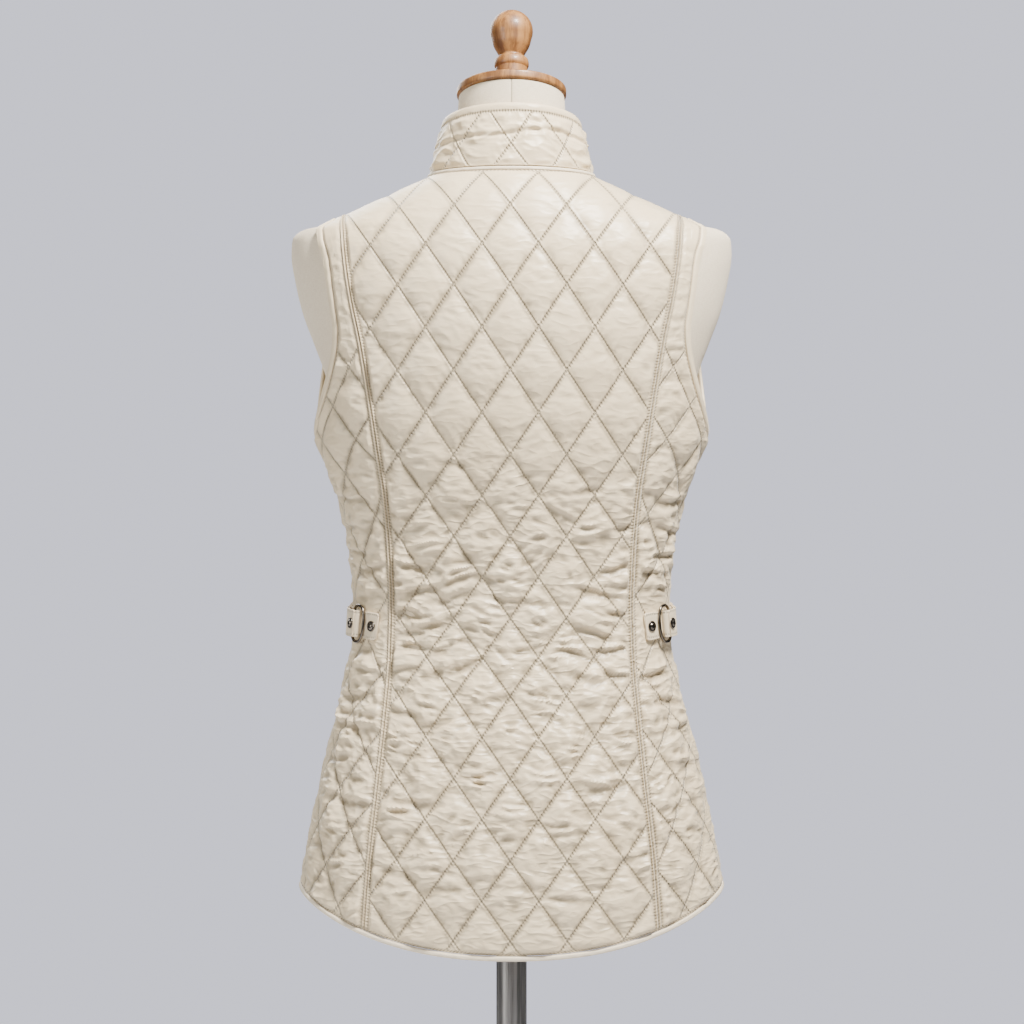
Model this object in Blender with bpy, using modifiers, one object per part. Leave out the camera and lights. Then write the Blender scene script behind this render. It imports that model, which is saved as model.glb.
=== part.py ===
"""A diamond-quilted women's vest worn by a dress form on a steel pole, at real size in metres, +Z up.

The back of the vest faces +Y and the wearer's left is +X. The origin is the middle of the base's
underside. The cloth is a wall whose outer face is worked out from the rings of VEST_RINGS.
"""

import math

import bmesh
import bpy
import numpy as np
from mathutils import Matrix, Vector
from mathutils.geometry import delaunay_2d_cdt

# Cloth
GAP = 0.0003  # between neighbouring solids
WALL = 0.0020  # thickness of the quilted cloth at a stitch line
PUFF = 0.0026  # how far the middle of a diamond rises over its stitch lines
DIAMOND_WIDTH = 0.0510
DIAMOND_HEIGHT = 0.0747
CROSSING_Z = 0.7297  # height of a crossing of stitch lines on the centre back
PUFF_STEPS = 3  # cells along each side of a diamond
FRONT_PUFF_STEPS = 2
EDGE_MARGIN = 0.0050  # quilting stays this far inside a piece's edge
EDGE_STEP = 0.0140  # spacing of the points along a piece's edge
INNER_STEP = 0.0300  # spacing of the points of the plain inside
PUFF_POWER = 0.75
CORNER_REACH = 0.0030  # edge points nearer than this at a corner become one
SEAM_SHIFT = 0.0002  # from a seam's line to the edge of the cloth beside it
SEAM_RIDGE = 0.0011  # how far the twin-stitched princess seams stand up

# Vest outline
NECK_HALF_WIDTH = 0.0770
NECK_BACK_Z = 1.4265
NECK_FRONT_Z = 1.3650
SHOULDER_TIP_Z = 1.3846
UNDERARM_Z = 1.1870
ARMHOLE_MIDDLE_Z = 1.2850
ARMHOLE_BACK_Y = 0.0680
ARMHOLE_FRONT_Y = -0.0600
ARMHOLE_LOWER_POWER = 1.65
ARMHOLE_UPPER_POWER = 3.0
HEM_BACK_Z = 0.7123
HEM_SIDE_Z = 0.7626
HEM_FRONT_Z = 0.7350
BINDING_WIDTH = 0.0064
BINDING_THICKNESS = 0.0036
HEM_BINDING_WIDTH = 0.0046
HEM_BINDING_THICKNESS = 0.0044
CHORD_SAG = 0.0003  # extra room beside a curved binding for the flat stretches of its faces
HEM_ROOM = HEM_BINDING_WIDTH + GAP + CHORD_SAG
PIPING_RADIUS = 0.0017
NECK_ROOM = PIPING_RADIUS + GAP + CHORD_SAG

# Collar
COLLAR_HALF_WIDTH = 0.0640
COLLAR_BACK_Y = 0.0680
COLLAR_FRONT_Y = -0.0500
COLLAR_MIDDLE_Y = 0.0110
COLLAR_SIDE_Z = 1.4764
COLLAR_BACK_RISE = 0.0105
COLLAR_FRONT_DROP = 0.0460

# Zip
ZIP_HALF_GAP = 0.0036
CHAIN_WIDTH = 0.0062
CHAIN_THICKNESS = 0.0022
SLIDER_WIDTH = 0.0084
SLIDER_HEIGHT = 0.0100
SLIDER_THICKNESS = 0.0016
SLIDER_BELOW_TOP = 0.0110
CHAIN_DEPTH = 0.0009  # the chain's middle under the stitch level
BAIL_RADIUS = 0.0023
BAIL_WIRE = 0.0010
BAIL_RISE = 0.0003  # the middle of the bail's arch over the slider's plate
PULL_RISE = 0.00115  # the pull's pin over the slider's plate
PULL_PIN = 0.0010
PULL_LENGTH = 0.0260
PULL_WIDTH = 0.0056
PULL_EYE_LENGTH = 0.0037
PULL_EYE_WIDTH = 0.0028

# Waist tabs
TAB_HEIGHT = 0.0254
TAB_THICKNESS = 0.0012
TAB_Z = 1.0092
TAB_SLOPE = 0.10  # the straps rise towards the front
TAB_LIFT = 0.0013  # a strap's underside over the stitch level
TAB_PRESS = 0.75  # share of the puffs that the straps press flat
TAB_PRESS_MIDDLE = (0.138, 0.000)  # x and y of the pressed stretch
TAB_PRESS_REACH = (0.026, 0.060, 0.026)
RING_AROUND = 0.752
RING_HEIGHT = 0.0366
RING_WIDTH = 0.0221
RING_WIRE = 0.0027
RING_POWER = 2.8
LOOP_CLEARANCE = 0.0012
LAYER_GAP = 0.0005
FRONT_TAB_LENGTH = 0.0640
TAIL_LENGTH = 0.0150
OUTER_TAB_LENGTH = 0.0175
LOOP_SLACK = 0.0100  # how far the front strap's loop reaches behind the ring's bar
SNAP_PLACES = (0.0092, -0.0065)  # from the ring's bar to the back and the front snap's middle
SNAP_RADIUS = 0.0050
SNAP_HEIGHT = 0.0016

# Lines along the edges
NECK_CORNER = 0.0020  # in units of around, from the shoulder line
NECK_FRONT_CORNER = 0.0300  # from the centre front, for the zip
COLLAR_END = 0.0360
COLLAR_CROSSING = 0.38  # height of the middle crossing, as a share of the collar
SIDE_PATTERN_SHIFT = (-0.0961, 0.0937)  # of a crossing on the side backs, from the side line
BINDING_DEPTH = 0.0008  # the binding's middle under the stitch level
ARMHOLE_STEP = 0.0090
HEM_SECTIONS = 61
NECK_SECTIONS = 41
CHAIN_SECTIONS = 22

# Stand
NECK_TILT_FROM_Z = 1.433
NECK_TILT_OVER = 0.0662
BALL_RADIUS = 0.0202
BALL_Z = 0.0617  # over the cap's middle
BALL_TURN = 1.95  # radians from the ball's top to where it meets the stem
# Columns: radius and height over the cap's middle of the stem, its bead and its foot.
FINIAL_STEM = ((0.0173, 0.0473), (0.0131, 0.0399), (0.0113, 0.0366), (0.0122, 0.0350), (0.0152, 0.0336),
               (0.0164, 0.0292), (0.0160, 0.0258), (0.0132, 0.0246), (0.0126, 0.0215), (0.0126, 0.0105))
NECK_TILT = 12.0  # degrees, forward
CAP_MIDDLE = (0.0, 0.0095, 1.5052)
CAP_RADIUS = 0.0514
CAP_THICKNESS = 0.0100
POLE_RADIUS = 0.0143
BASE_RADIUS = 0.1900
BASE_THICKNESS = 0.0160
BASE_HUB_RADIUS = 0.0280
BASE_HUB_HEIGHT = 0.0550
FORM_SEGMENTS = 28
FORM_LEVELS = 26
ROUND_STEPS = 24

# Columns of both tables: height, half width, depth at the back, depth at the front, y of the widest
# line, and the power of the ring's rounded outline (2 is an ellipse, more is squarer).
VEST_RINGS = np.array((
    (0.690, 0.2085, 0.1305, 0.1200, 0.000, 2.30),
    (0.740, 0.2025, 0.1290, 0.1190, 0.000, 2.30),
    (0.790, 0.1930, 0.1250, 0.1170, 0.000, 2.30),
    (0.830, 0.1855, 0.1195, 0.1160, 0.000, 2.30),
    (0.870, 0.1765, 0.1120, 0.1130, 0.000, 2.28),
    (0.910, 0.1670, 0.1040, 0.1100, 0.000, 2.26),
    (0.950, 0.1570, 0.0955, 0.1060, 0.000, 2.24),
    (0.990, 0.1500, 0.0885, 0.1020, 0.000, 2.22),
    (1.030, 0.1485, 0.0865, 0.1010, 0.000, 2.20),
    (1.070, 0.1510, 0.0885, 0.1060, 0.000, 2.18),
    (1.110, 0.1585, 0.0930, 0.1165, 0.000, 2.15),
    (1.150, 0.1710, 0.0995, 0.1290, 0.000, 2.12),
    (1.180, 0.1830, 0.1045, 0.1360, 0.000, 2.08),
    (1.210, 0.1900, 0.1080, 0.1390, 0.000, 2.04),
    (1.250, 0.1990, 0.1115, 0.1330, 0.000, 2.00),
    (1.290, 0.2075, 0.1125, 0.1180, 0.000, 2.00),
    (1.330, 0.2140, 0.1095, 0.0960, 0.001, 2.00),
    (1.355, 0.2140, 0.1045, 0.0800, 0.002, 2.00),
    (1.372, 0.2050, 0.0990, 0.0690, 0.003, 2.00),
    (1.3846, 0.1710, 0.0950, 0.0620, 0.004, 2.00),
    (1.397, 0.1400, 0.0890, 0.0560, 0.006, 2.00),
    (1.4115, 0.1070, 0.0790, 0.0500, 0.008, 2.00),
    (1.4265, 0.0770, 0.0650, 0.0440, 0.010, 2.00),
    (1.4400, 0.0620, 0.0560, 0.0400, 0.010, 2.00),
))
FORM_RINGS = np.array((
    (0.800, 0.1680, 0.1040, 0.0980, 0.000, 2.20),
    (0.860, 0.1580, 0.0960, 0.0970, 0.000, 2.20),
    (0.910, 0.1470, 0.0860, 0.0930, 0.000, 2.18),
    (0.960, 0.1350, 0.0760, 0.0880, 0.000, 2.16),
    (1.000, 0.1305, 0.0705, 0.0840, 0.000, 2.14),
    (1.035, 0.1300, 0.0690, 0.0830, 0.000, 2.12),
    (1.070, 0.1330, 0.0720, 0.0890, 0.000, 2.10),
    (1.110, 0.1420, 0.0790, 0.1010, 0.000, 2.08),
    (1.150, 0.1540, 0.0880, 0.1140, 0.000, 2.05),
    (1.180, 0.1620, 0.0940, 0.1220, 0.000, 2.03),
    (1.210, 0.1670, 0.0980, 0.1250, 0.000, 2.00),
    (1.240, 0.1745, 0.1015, 0.1210, 0.000, 2.00),
    (1.270, 0.1855, 0.1030, 0.1110, 0.000, 2.00),
    (1.300, 0.1965, 0.1030, 0.0990, 0.000, 2.00),
    (1.330, 0.2035, 0.0990, 0.0850, 0.001, 2.00),
    (1.353, 0.2068, 0.0930, 0.0710, 0.002, 2.00),
    (1.3672, 0.2060, 0.0890, 0.0630, 0.003, 2.00),
    (1.3757, 0.1980, 0.0870, 0.0580, 0.003, 2.00),
    (1.3807, 0.1720, 0.0850, 0.0550, 0.004, 2.00),
    (1.3912, 0.1400, 0.0800, 0.0500, 0.006, 2.00),
    (1.4052, 0.1070, 0.0710, 0.0440, 0.008, 2.00),
    (1.4188, 0.0780, 0.0590, 0.0400, 0.010, 2.00),
    (1.433, 0.0630, 0.0520, 0.0420, 0.010, 2.00),
    (1.452, 0.0550, 0.0490, 0.0450, 0.010, 2.00),
    (1.474, 0.0515, 0.0490, 0.0470, 0.010, 2.00),
    (1.4997, 0.0495, 0.0490, 0.0490, 0.0095, 2.00),
))
# Columns: height, distance of the princess seam from the centre back.
PRINCESS_SEAM = np.array((
    (0.690, 0.1355),
    (0.795, 0.1287),
    (0.868, 0.1209),
    (0.927, 0.1150),
    (0.978, 0.1110),
    (1.030, 0.1098),
    (1.0825, 0.1117),
    (1.124, 0.1151),
    (1.171, 0.1220),
    (1.225, 0.1302),
    (1.2685, 0.1375),
    (1.3065, 0.1455),
    (1.338, 0.1505),
    (1.3905, 0.1560),
))


# ---------------------------------------------------------------- numbers along a table

def smooth(rows, column, height):
    """The column's value at a height, on a cubic through the rows that never overshoots them."""
    heights = rows[:, 0]
    values = rows[:, column]
    spans = np.diff(heights)
    slopes_between = np.diff(values) / spans
    before = slopes_between[:-1]
    after = slopes_between[1:]
    slopes = np.zeros_like(values)
    slopes[0] = slopes_between[0]
    slopes[-1] = slopes_between[-1]
    same_way = before * after > 0
    middle = np.zeros_like(before)
    middle[same_way] = 2 * before[same_way] * after[same_way] / (before + after)[same_way]
    slopes[1:-1] = middle
    at = np.clip(np.searchsorted(heights, height) - 1, 0, len(heights) - 2)
    share = (height - heights[at]) / spans[at]
    inverse = 1 - share
    ends = values[at] * inverse**2 * (1 + 2 * share) + values[at + 1] * share**2 * (1 + 2 * inverse)
    tangents = spans[at] * share * inverse * (slopes[at] * inverse - slopes[at + 1] * share)
    return ends + tangents


def ring_points(rows, around, height):
    """Points on the rings: around is 0 at the centre back, 1 at the side and 2 at the centre front."""
    around, height = np.broadcast_arrays(np.asarray(around, float), np.asarray(height, float))
    half, back, front, widest, power = (smooth(rows, column, height) for column in range(1, 6))
    turn = around * math.pi / 2
    along = np.sin(turn)
    depth = np.cos(turn)
    x = half * np.sign(along) * np.abs(along) ** (2 / power)
    y = widest + np.where(depth >= 0, back, front) * np.sign(depth) * np.abs(depth) ** (2 / power)
    return np.stack((x, y, height), axis=-1)


def ring_normals(rows, around, height):
    """Outward unit normals of the surface through the rings, from small steps both ways."""
    step_around = 0.002
    step_up = 0.0004
    ahead = ring_points(rows, around + step_around, height)
    across = ahead - ring_points(rows, around - step_around, height)
    above = ring_points(rows, around, height + step_up)
    upward = above - ring_points(rows, around, height - step_up)
    normals = np.cross(upward, across)
    return normals / np.linalg.norm(normals, axis=-1, keepdims=True)


def around_of(points):
    """Where points near the vest's surface lie around it, from their x and y on the ring at their height."""
    height = points[..., 2]
    half, back, front, widest, power = (smooth(VEST_RINGS, column, height) for column in range(1, 6))
    depth = points[..., 1] - widest
    along = (np.abs(points[..., 0]) / half) ** (power / 2)
    reach = (np.abs(depth) / np.where(depth >= 0, back, front)) ** (power / 2)
    return np.arctan2(along, np.sign(depth) * reach) * 2 / math.pi


def around_at(x, height, front=False):
    """Where a point of the vest's back or front lies around it, from its x."""
    x = np.asarray(x, float)
    half = smooth(VEST_RINGS, 1, height)
    power = smooth(VEST_RINGS, 5, height)
    turn = np.arcsin(np.clip((np.abs(x) / half) ** (power / 2), 0, 1)) * 2 / math.pi
    return np.where(x < 0, -1.0, 1.0) * (2 - turn if front else turn)


def beside_side_line(height, shift):
    """Around, at a small distance behind the widest line, or before it where the shift is negative."""
    depth = smooth(VEST_RINGS, 2 if shift > 0 else 3, height)
    power = smooth(VEST_RINGS, 5, height)
    return 1 - np.sign(shift) * (abs(shift) / depth) ** (power / 2) * 2 / math.pi


# ---------------------------------------------------------------- the vest's edges
# An edge is a function from shares of its length to (around, height).

def hem_height(around):
    """Height of the shirt-tail hem's lower edge: low at the centre back and front, high at the sides."""
    around = np.abs(np.asarray(around, float))
    low = np.where(around <= 1, HEM_BACK_Z, HEM_FRONT_Z)
    return low + (HEM_SIDE_Z - low) * np.sin(around * math.pi / 2) ** 2


def princess_x(height, shift):
    """Distance from the centre back of the line beside the princess seam."""
    return smooth(PRINCESS_SEAM, 1, height) + shift


def princess_foot(shift):
    """Around and height where the princess seam meets the hem binding."""
    height = HEM_BACK_Z
    for _ in range(6):
        around = float(around_at(princess_x(height, shift), height))
        height = float(hem_height(around)) + HEM_ROOM
    return around, height


def princess_top(shift):
    """Height where the princess seam meets the shoulder line."""
    low, high = SHOULDER_TIP_Z, NECK_BACK_Z
    for _ in range(40):
        middle = (low + high) / 2
        if smooth(VEST_RINGS, 1, middle) > princess_x(middle, shift):
            low = middle
        else:
            high = middle
    return low


def princess_edge(shift):
    """The edge beside the princess seam, from the hem to the shoulder."""
    foot = princess_foot(shift)[1]
    top = princess_top(shift)

    def edge(share):
        height = top - (top - foot) * (1 - share) ** 3
        around = around_at(princess_x(height, shift), height)
        return np.minimum(around, beside_side_line(height, SEAM_SHIFT)), height
    edge.lift = SEAM_RIDGE
    return edge


def level_edge(first, last):
    """The edge above the hem binding between two places around."""
    def edge(share):
        around = first + (last - first) * share
        return around, hem_height(around) + HEM_ROOM
    return edge


def line_edge(low, high, shift):
    """The edge beside the side seam or the shoulder seam, between two heights."""
    def edge(share):
        height = low + (high - low) * share
        return beside_side_line(height, shift), height
    return edge


def centre_front_edge(low, high):
    """The edge beside the zip."""
    def edge(share):
        height = low + (high - low) * share
        return around_at(ZIP_HALF_GAP, height, front=True), height
    return edge


def armhole_curve(turns):
    """The armhole's outline on the vest's surface: 0 is the shoulder, 0.25 the back, 0.5 the underarm."""
    turn = np.asarray(turns, float) * 2 * math.pi
    up = np.cos(turn)
    out = np.sin(turn)
    power = np.where(up >= 0, ARMHOLE_UPPER_POWER, ARMHOLE_LOWER_POWER)
    above = SHOULDER_TIP_Z - ARMHOLE_MIDDLE_Z
    below = ARMHOLE_MIDDLE_Z - UNDERARM_Z
    height = ARMHOLE_MIDDLE_Z + np.where(up >= 0, above, below) * np.sign(up) * np.abs(up) ** (2 / power)
    reach = np.where(out >= 0, ARMHOLE_BACK_Y, ARMHOLE_FRONT_Y) * np.abs(out) ** (2 / power)
    half, back, front, widest, squareness = (smooth(VEST_RINGS, column, height) for column in range(1, 6))
    depth = np.abs(reach) / np.where(out >= 0, back, front)
    x = half * np.clip(1 - depth**squareness, 0, 1) ** (1 / squareness)
    return np.stack((x, widest + reach, height), axis=-1)


def neck_curve(around):
    """The seam between body and collar, on the vest's surface."""
    turn = np.asarray(around, float) * math.pi / 2
    forward = np.clip(-np.cos(turn), 0, 1) ** 1.2
    height = NECK_BACK_Z + (NECK_FRONT_Z - NECK_BACK_Z) * forward
    x = NECK_HALF_WIDTH * np.sin(turn)
    half, back, front, widest, power = (smooth(VEST_RINGS, column, height) for column in range(1, 6))
    inside = np.clip(1 - (np.abs(x) / half) ** power, 0, 1) ** (1 / power)
    y = widest + np.where(np.cos(turn) >= 0, back, -front) * inside
    return np.stack((x, y, height), axis=-1)


def moved_aside(curve, places, away, middle):
    """Around and height of points of a curve moved along the surface, away from a middle point."""
    points = curve(places)
    along = curve(places + 0.002) - curve(places - 0.002)
    normals = ring_normals(VEST_RINGS, around_of(points) * np.where(points[:, 0] < 0, -1, 1), points[:, 2])
    outward = np.cross(along, normals)
    outward /= np.linalg.norm(outward, axis=1, keepdims=True)
    outward *= np.where(np.sum((points - np.array(middle)) * outward, axis=1) < 0, -1, 1)[:, None]
    moved = points + outward * away
    return around_of(moved) * np.where(moved[:, 0] < 0, -1, 1), moved[:, 2]


def armhole_edge(first, last, away=BINDING_WIDTH + GAP + CHORD_SAG, side=0):
    """The edge at a distance outside the armhole, between two turns; side keeps it off the side line."""
    middle = (0.16, 0.0, ARMHOLE_MIDDLE_Z)

    def edge(share):
        around, height = moved_aside(armhole_curve, first + (last - first) * share, away, middle)
        if side > 0:
            around = np.minimum(around, beside_side_line(height, SEAM_SHIFT))
        elif side < 0:
            around = np.maximum(around, beside_side_line(height, -SEAM_SHIFT))
        return around, height
    edge.step = ARMHOLE_STEP
    return edge


def neck_edge(first, last):
    """The body's edge below the neck piping, between two places around the neck."""
    middle = (0.0, 0.005, NECK_BACK_Z)

    def edge(share):
        return moved_aside(neck_curve, first + (last - first) * share, NECK_ROOM, middle)
    return edge


def collar_top(around):
    """The collar's top edge, which tilts down towards the front."""
    turn = np.asarray(around, float) * math.pi / 2
    depth = np.cos(turn)
    reach = np.where(depth >= 0, COLLAR_BACK_Y - COLLAR_MIDDLE_Y, COLLAR_MIDDLE_Y - COLLAR_FRONT_Y)
    lift = np.where(depth >= 0, COLLAR_BACK_RISE, COLLAR_FRONT_DROP)
    x = COLLAR_HALF_WIDTH * np.sin(turn)
    return np.stack((x, COLLAR_MIDDLE_Y + reach * depth, COLLAR_SIDE_Z + lift * depth), axis=-1)


# ---------------------------------------------------------------- the surfaces that pieces are cut on

def length_table(line):
    """Arc lengths from the first point of a 3D polyline to each of its points."""
    return np.concatenate(((0,), np.cumsum(np.linalg.norm(np.diff(line, axis=0), axis=1))))


class BodySurface:
    """The vest's outer face, laid flat: up the cloth along the centre back, and across by x or by arc."""

    def __init__(self, by_arc):
        self.by_arc = by_arc
        self.heights = np.linspace(VEST_RINGS[0, 0], VEST_RINGS[-1, 0], 301)
        self.lengths = length_table(ring_points(VEST_RINGS, np.zeros(301), self.heights))
        self.turns = np.linspace(0, 2, 161)

    def points(self, around, height):
        """3D points at (around, height)."""
        return ring_points(VEST_RINGS, around, height)

    def normals(self, around, height):
        """Outward normals at (around, height)."""
        return ring_normals(VEST_RINGS, around, height)

    def arcs(self, height):
        """Arc lengths around one ring, from its side line and forward."""
        lengths = length_table(self.points(self.turns, height))
        return lengths - np.interp(1, self.turns, lengths)

    def flat(self, around, height):
        """Flat coordinates of (around, height)."""
        up = np.interp(height, self.heights, self.lengths)
        if not self.by_arc:
            return np.stack((self.points(around, height)[:, 0], up), axis=-1)
        across = [np.interp(turn, self.turns, self.arcs(z)) for turn, z in zip(around, height)]
        return np.stack((across, up), axis=-1)

    def unflat(self, flat):
        """(around, height) of flat coordinates."""
        height = np.interp(flat[:, 1], self.lengths, self.heights)
        if not self.by_arc:
            return around_at(flat[:, 0], height), height
        return self.at_arcs(flat[:, 0], height)

    def at_arcs(self, arcs, height):
        """(around, height) of places at arc lengths from the side line."""
        return np.array([np.interp(arc, self.arcs(z), self.turns) for arc, z in zip(arcs, height)]), height


class CollarSurface:
    """The collar's outer face between the neck seam and its top edge: (around, share of its height)."""

    def __init__(self):
        self.turns = np.linspace(-2, 2, 161)
        self.lengths = length_table(self.points(self.turns, np.full(161, 0.5)))
        self.lengths -= self.lengths[80]
        self.height = float(np.linalg.norm(collar_top(0.0) - neck_curve(0.0)))
        self.least_height = float(np.linalg.norm(collar_top(1.0) - neck_curve(1.0)))

    def points(self, around, share):
        """3D points at (around, share)."""
        foot = neck_curve(around)
        return foot + (collar_top(around) - foot) * np.asarray(share)[..., None]

    def normals(self, around, share):
        """Outward normals at (around, share)."""
        step = 0.004
        across = self.points(around + step, share) - self.points(around - step, share)
        upward = collar_top(around) - neck_curve(around)
        normals = np.cross(upward, across)
        return normals / np.linalg.norm(normals, axis=-1, keepdims=True)

    def flat(self, around, share):
        """Flat coordinates of (around, share)."""
        return np.stack((np.interp(around, self.turns, self.lengths), share * self.height), axis=-1)

    def unflat(self, flat):
        """(around, share) of flat coordinates."""
        return np.interp(flat[:, 0], self.lengths, self.turns), flat[:, 1] / self.height


def outline_of(surface, edges):
    """One closed outline of evenly spaced (around, height, lift) rows, from edges that follow each other."""
    dense = np.linspace(0, 1, 401)
    rows = []
    for edge in edges:
        lift = getattr(edge, "lift", 0.0)
        lengths = length_table(surface.points(*edge(dense)))
        count = max(2, int(round(lengths[-1] / getattr(edge, "step", EDGE_STEP))) + 1)
        share = np.interp(np.linspace(0, lengths[-1], count), lengths, dense)
        rows.extend((*place, lift) for place in zip(*edge(share)))
    kept = []
    for row in rows:
        here = surface.points(np.array([row[0]]), np.array([row[1]]))[0]
        nearest = min((np.linalg.norm(here - kept[i][1]) for i in (-1, 0) if kept), default=EDGE_STEP)
        if nearest > CORNER_REACH:
            kept.append((row, here))
    return np.array([row for row, _ in kept])


def mirrored(edges):
    """The same edges on the other side of the centre, in the opposite order and direction."""
    def other(edge):
        def reversed_edge(share):
            around, height = edge(1 - share)
            return -around, height
        reversed_edge.lift = getattr(edge, "lift", 0.0)
        return reversed_edge
    return [other(edge) for edge in reversed(edges)]


# ---------------------------------------------------------------- quilting

def lattice(low, high, shift, steps):
    """Flat points at even steps along both stitch directions over a rectangle, by their two counts."""
    width = DIAMOND_WIDTH / (2 * steps)
    height = DIAMOND_HEIGHT / (2 * steps)
    most = int((high[0] - low[0] + abs(shift[0])) / width + (high[1] - low[1] + abs(shift[1])) / height) + 4
    points = {}
    for first in range(-most, most + 1):
        for second in range(-most, most + 1):
            across = shift[0] + (first + second) * width
            up = shift[1] + (first - second) * height
            if low[0] < across < high[0] and low[1] < up < high[1]:
                points[first, second] = (across, up)
    return points


def distance_inside(points, outline):
    """The least distance from each flat point to a closed outline, negative outside it."""
    points = np.asarray(points, float)[:, None, :]
    start = outline[None, :, :]
    edge = np.roll(outline, -1, axis=0)[None, :, :] - start
    share = np.sum((points - start) * edge, axis=-1) / np.sum(edge * edge, axis=-1)
    nearest = start + np.clip(share, 0, 1)[..., None] * edge
    least = np.linalg.norm(points - nearest, axis=-1).min(axis=1)
    above = points[..., 1]
    straddles = (start[..., 1] > above) != ((start + edge)[..., 1] > above)
    rise = np.where(edge[..., 1] == 0, 1.0, edge[..., 1])
    crossing = start[..., 0] + (above - start[..., 1]) * edge[..., 0] / rise
    inside = (straddles & (points[..., 0] < crossing)).sum(axis=1) % 2 == 1
    return np.where(inside, least, -least)


def triangles_inside(outline, inner, stitched):
    """Triangles of a closed flat outline through inner points, with the stitched pairs kept as edges."""
    count = len(outline)
    points = [Vector(point) for point in outline] + [Vector(point) for point in inner]
    edges = [(i, (i + 1) % count) for i in range(count)]
    edges += [(first + count, second + count) for first, second in stitched]
    corners, _, faces, sources, _, _ = delaunay_2d_cdt(points, edges, [], 1, 1e-7)
    if len(corners) != len(points):
        raise ValueError("an outline or a stitch line crosses itself")
    return [[sources[i][0] for i in face] for face in faces]


def pressed(points):
    """The share of the puffs that the waist straps leave, from 1 away from them."""
    across = (np.abs(points[:, 0]) - TAB_PRESS_MIDDLE[0]) / TAB_PRESS_REACH[0]
    forward = (points[:, 1] - TAB_PRESS_MIDDLE[1]) / TAB_PRESS_REACH[1]
    upward = (points[:, 2] - TAB_Z) / TAB_PRESS_REACH[2]
    far = np.maximum(np.maximum(np.abs(across), np.abs(forward)), np.abs(upward))
    return 1 - TAB_PRESS * np.clip(3 * (1.3 - far), 0, 1)


def plain_grid(flat_outline):
    """Evenly spaced flat points inside an outline, alike on both sides of its middle."""
    low, high = flat_outline.min(axis=0), flat_outline.max(axis=0)
    axes = []
    for start, stop in zip(low, high):
        cells = math.ceil((stop - start) / INNER_STEP)
        axes.append(start + (stop - start) * (np.arange(cells) + 0.5) / cells)
    grid = np.stack(np.meshgrid(*axes), axis=-1).reshape(-1, 2)
    return grid[distance_inside(grid, flat_outline) > INNER_STEP * 0.4]


def quilted_wall(name, surface, edges, shift, steps=PUFF_STEPS, mirror=False, turns=None, inner_turns=None):
    """A wall of quilted cloth: puffed diamonds on the outer face, over a plain inside.

    Turns are further (around, height) rows, unpuffed, where the surface turns sharply; inner_turns
    are those of the inside alone.
    """
    outline = outline_of(surface, edges)
    flat_outline = surface.flat(outline[:, 0], outline[:, 1])
    points = lattice(flat_outline.min(axis=0), flat_outline.max(axis=0), shift, steps)
    deep = distance_inside(list(points.values()), flat_outline) > EDGE_MARGIN
    kept = [key for key, inside in zip(points, deep) if inside]
    order = {key: i for i, key in enumerate(kept)}
    stitched = []
    for first, second in kept:
        if second % steps == 0 and (first + 1, second) in order:
            stitched.append((order[first, second], order[first + 1, second]))
        if first % steps == 0 and (first, second + 1) in order:
            stitched.append((order[first, second], order[first, second + 1]))
    inner = np.array([points[key] for key in kept])
    turns = np.zeros((0, 2)) if turns is None else turns
    turns_flat = surface.flat(turns[:, 0], turns[:, 1])
    outer_faces = triangles_inside(flat_outline, np.concatenate((inner, turns_flat)), stitched)

    counts = np.array(kept) * math.pi / steps
    puffs = PUFF * np.abs(np.sin(counts[:, 0]) * np.sin(counts[:, 1])) ** PUFF_POWER
    around, height = surface.unflat(inner)
    around = np.concatenate((outline[:, 0], around, turns[:, 0]))
    height = np.concatenate((outline[:, 1], height, turns[:, 1]))
    puffs = np.concatenate((outline[:, 2], puffs, np.zeros(len(turns))))
    base = surface.points(around, height)
    outer = base + surface.normals(around, height) * (puffs * pressed(base))[:, None]

    grid = plain_grid(flat_outline)
    grid_around, grid_height = surface.unflat(grid)
    if inner_turns is not None:
        grid = np.concatenate((grid, surface.flat(inner_turns[:, 0], inner_turns[:, 1])))
        grid_around = np.concatenate((grid_around, inner_turns[:, 0]))
        grid_height = np.concatenate((grid_height, inner_turns[:, 1]))
    inner_faces = triangles_inside(flat_outline, grid, [])
    around = np.concatenate((outline[:, 0], grid_around))
    height = np.concatenate((outline[:, 1], grid_height))
    inside = surface.points(around, height) - surface.normals(around, height) * WALL

    first = len(outer)
    rim = len(outline)
    faces = [tuple(face) for face in outer_faces]
    faces += [tuple(first + i for i in reversed(face)) for face in inner_faces]
    for i in range(rim):
        after = (i + 1) % rim
        faces.append((after, i, first + i, first + after))
    corners = np.concatenate((outer, inside))
    if mirror:
        corners = corners * (-1, 1, 1)
    return add_solid(name, corners, faces, CLOTH)


# ---------------------------------------------------------------- making objects

# Columns: colour, roughness, metallic.
CLOTH = ((0.60, 0.56, 0.48), 0.50, 0.0)
TRIM = ((0.78, 0.74, 0.66), 0.55, 0.0)
STRAP = ((0.66, 0.62, 0.54), 0.55, 0.0)
NICKEL = ((0.16, 0.14, 0.12), 0.35, 1.0)
LINEN = ((0.72, 0.67, 0.58), 0.90, 0.0)
WOOD = ((0.30, 0.15, 0.07), 0.45, 0.0)
STEEL = ((0.45, 0.45, 0.46), 0.30, 1.0)

VEST = bpy.data.collections.new("quilted_vest_on_dress_form")
SMOOTH_UNDER = math.radians(35)


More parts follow.
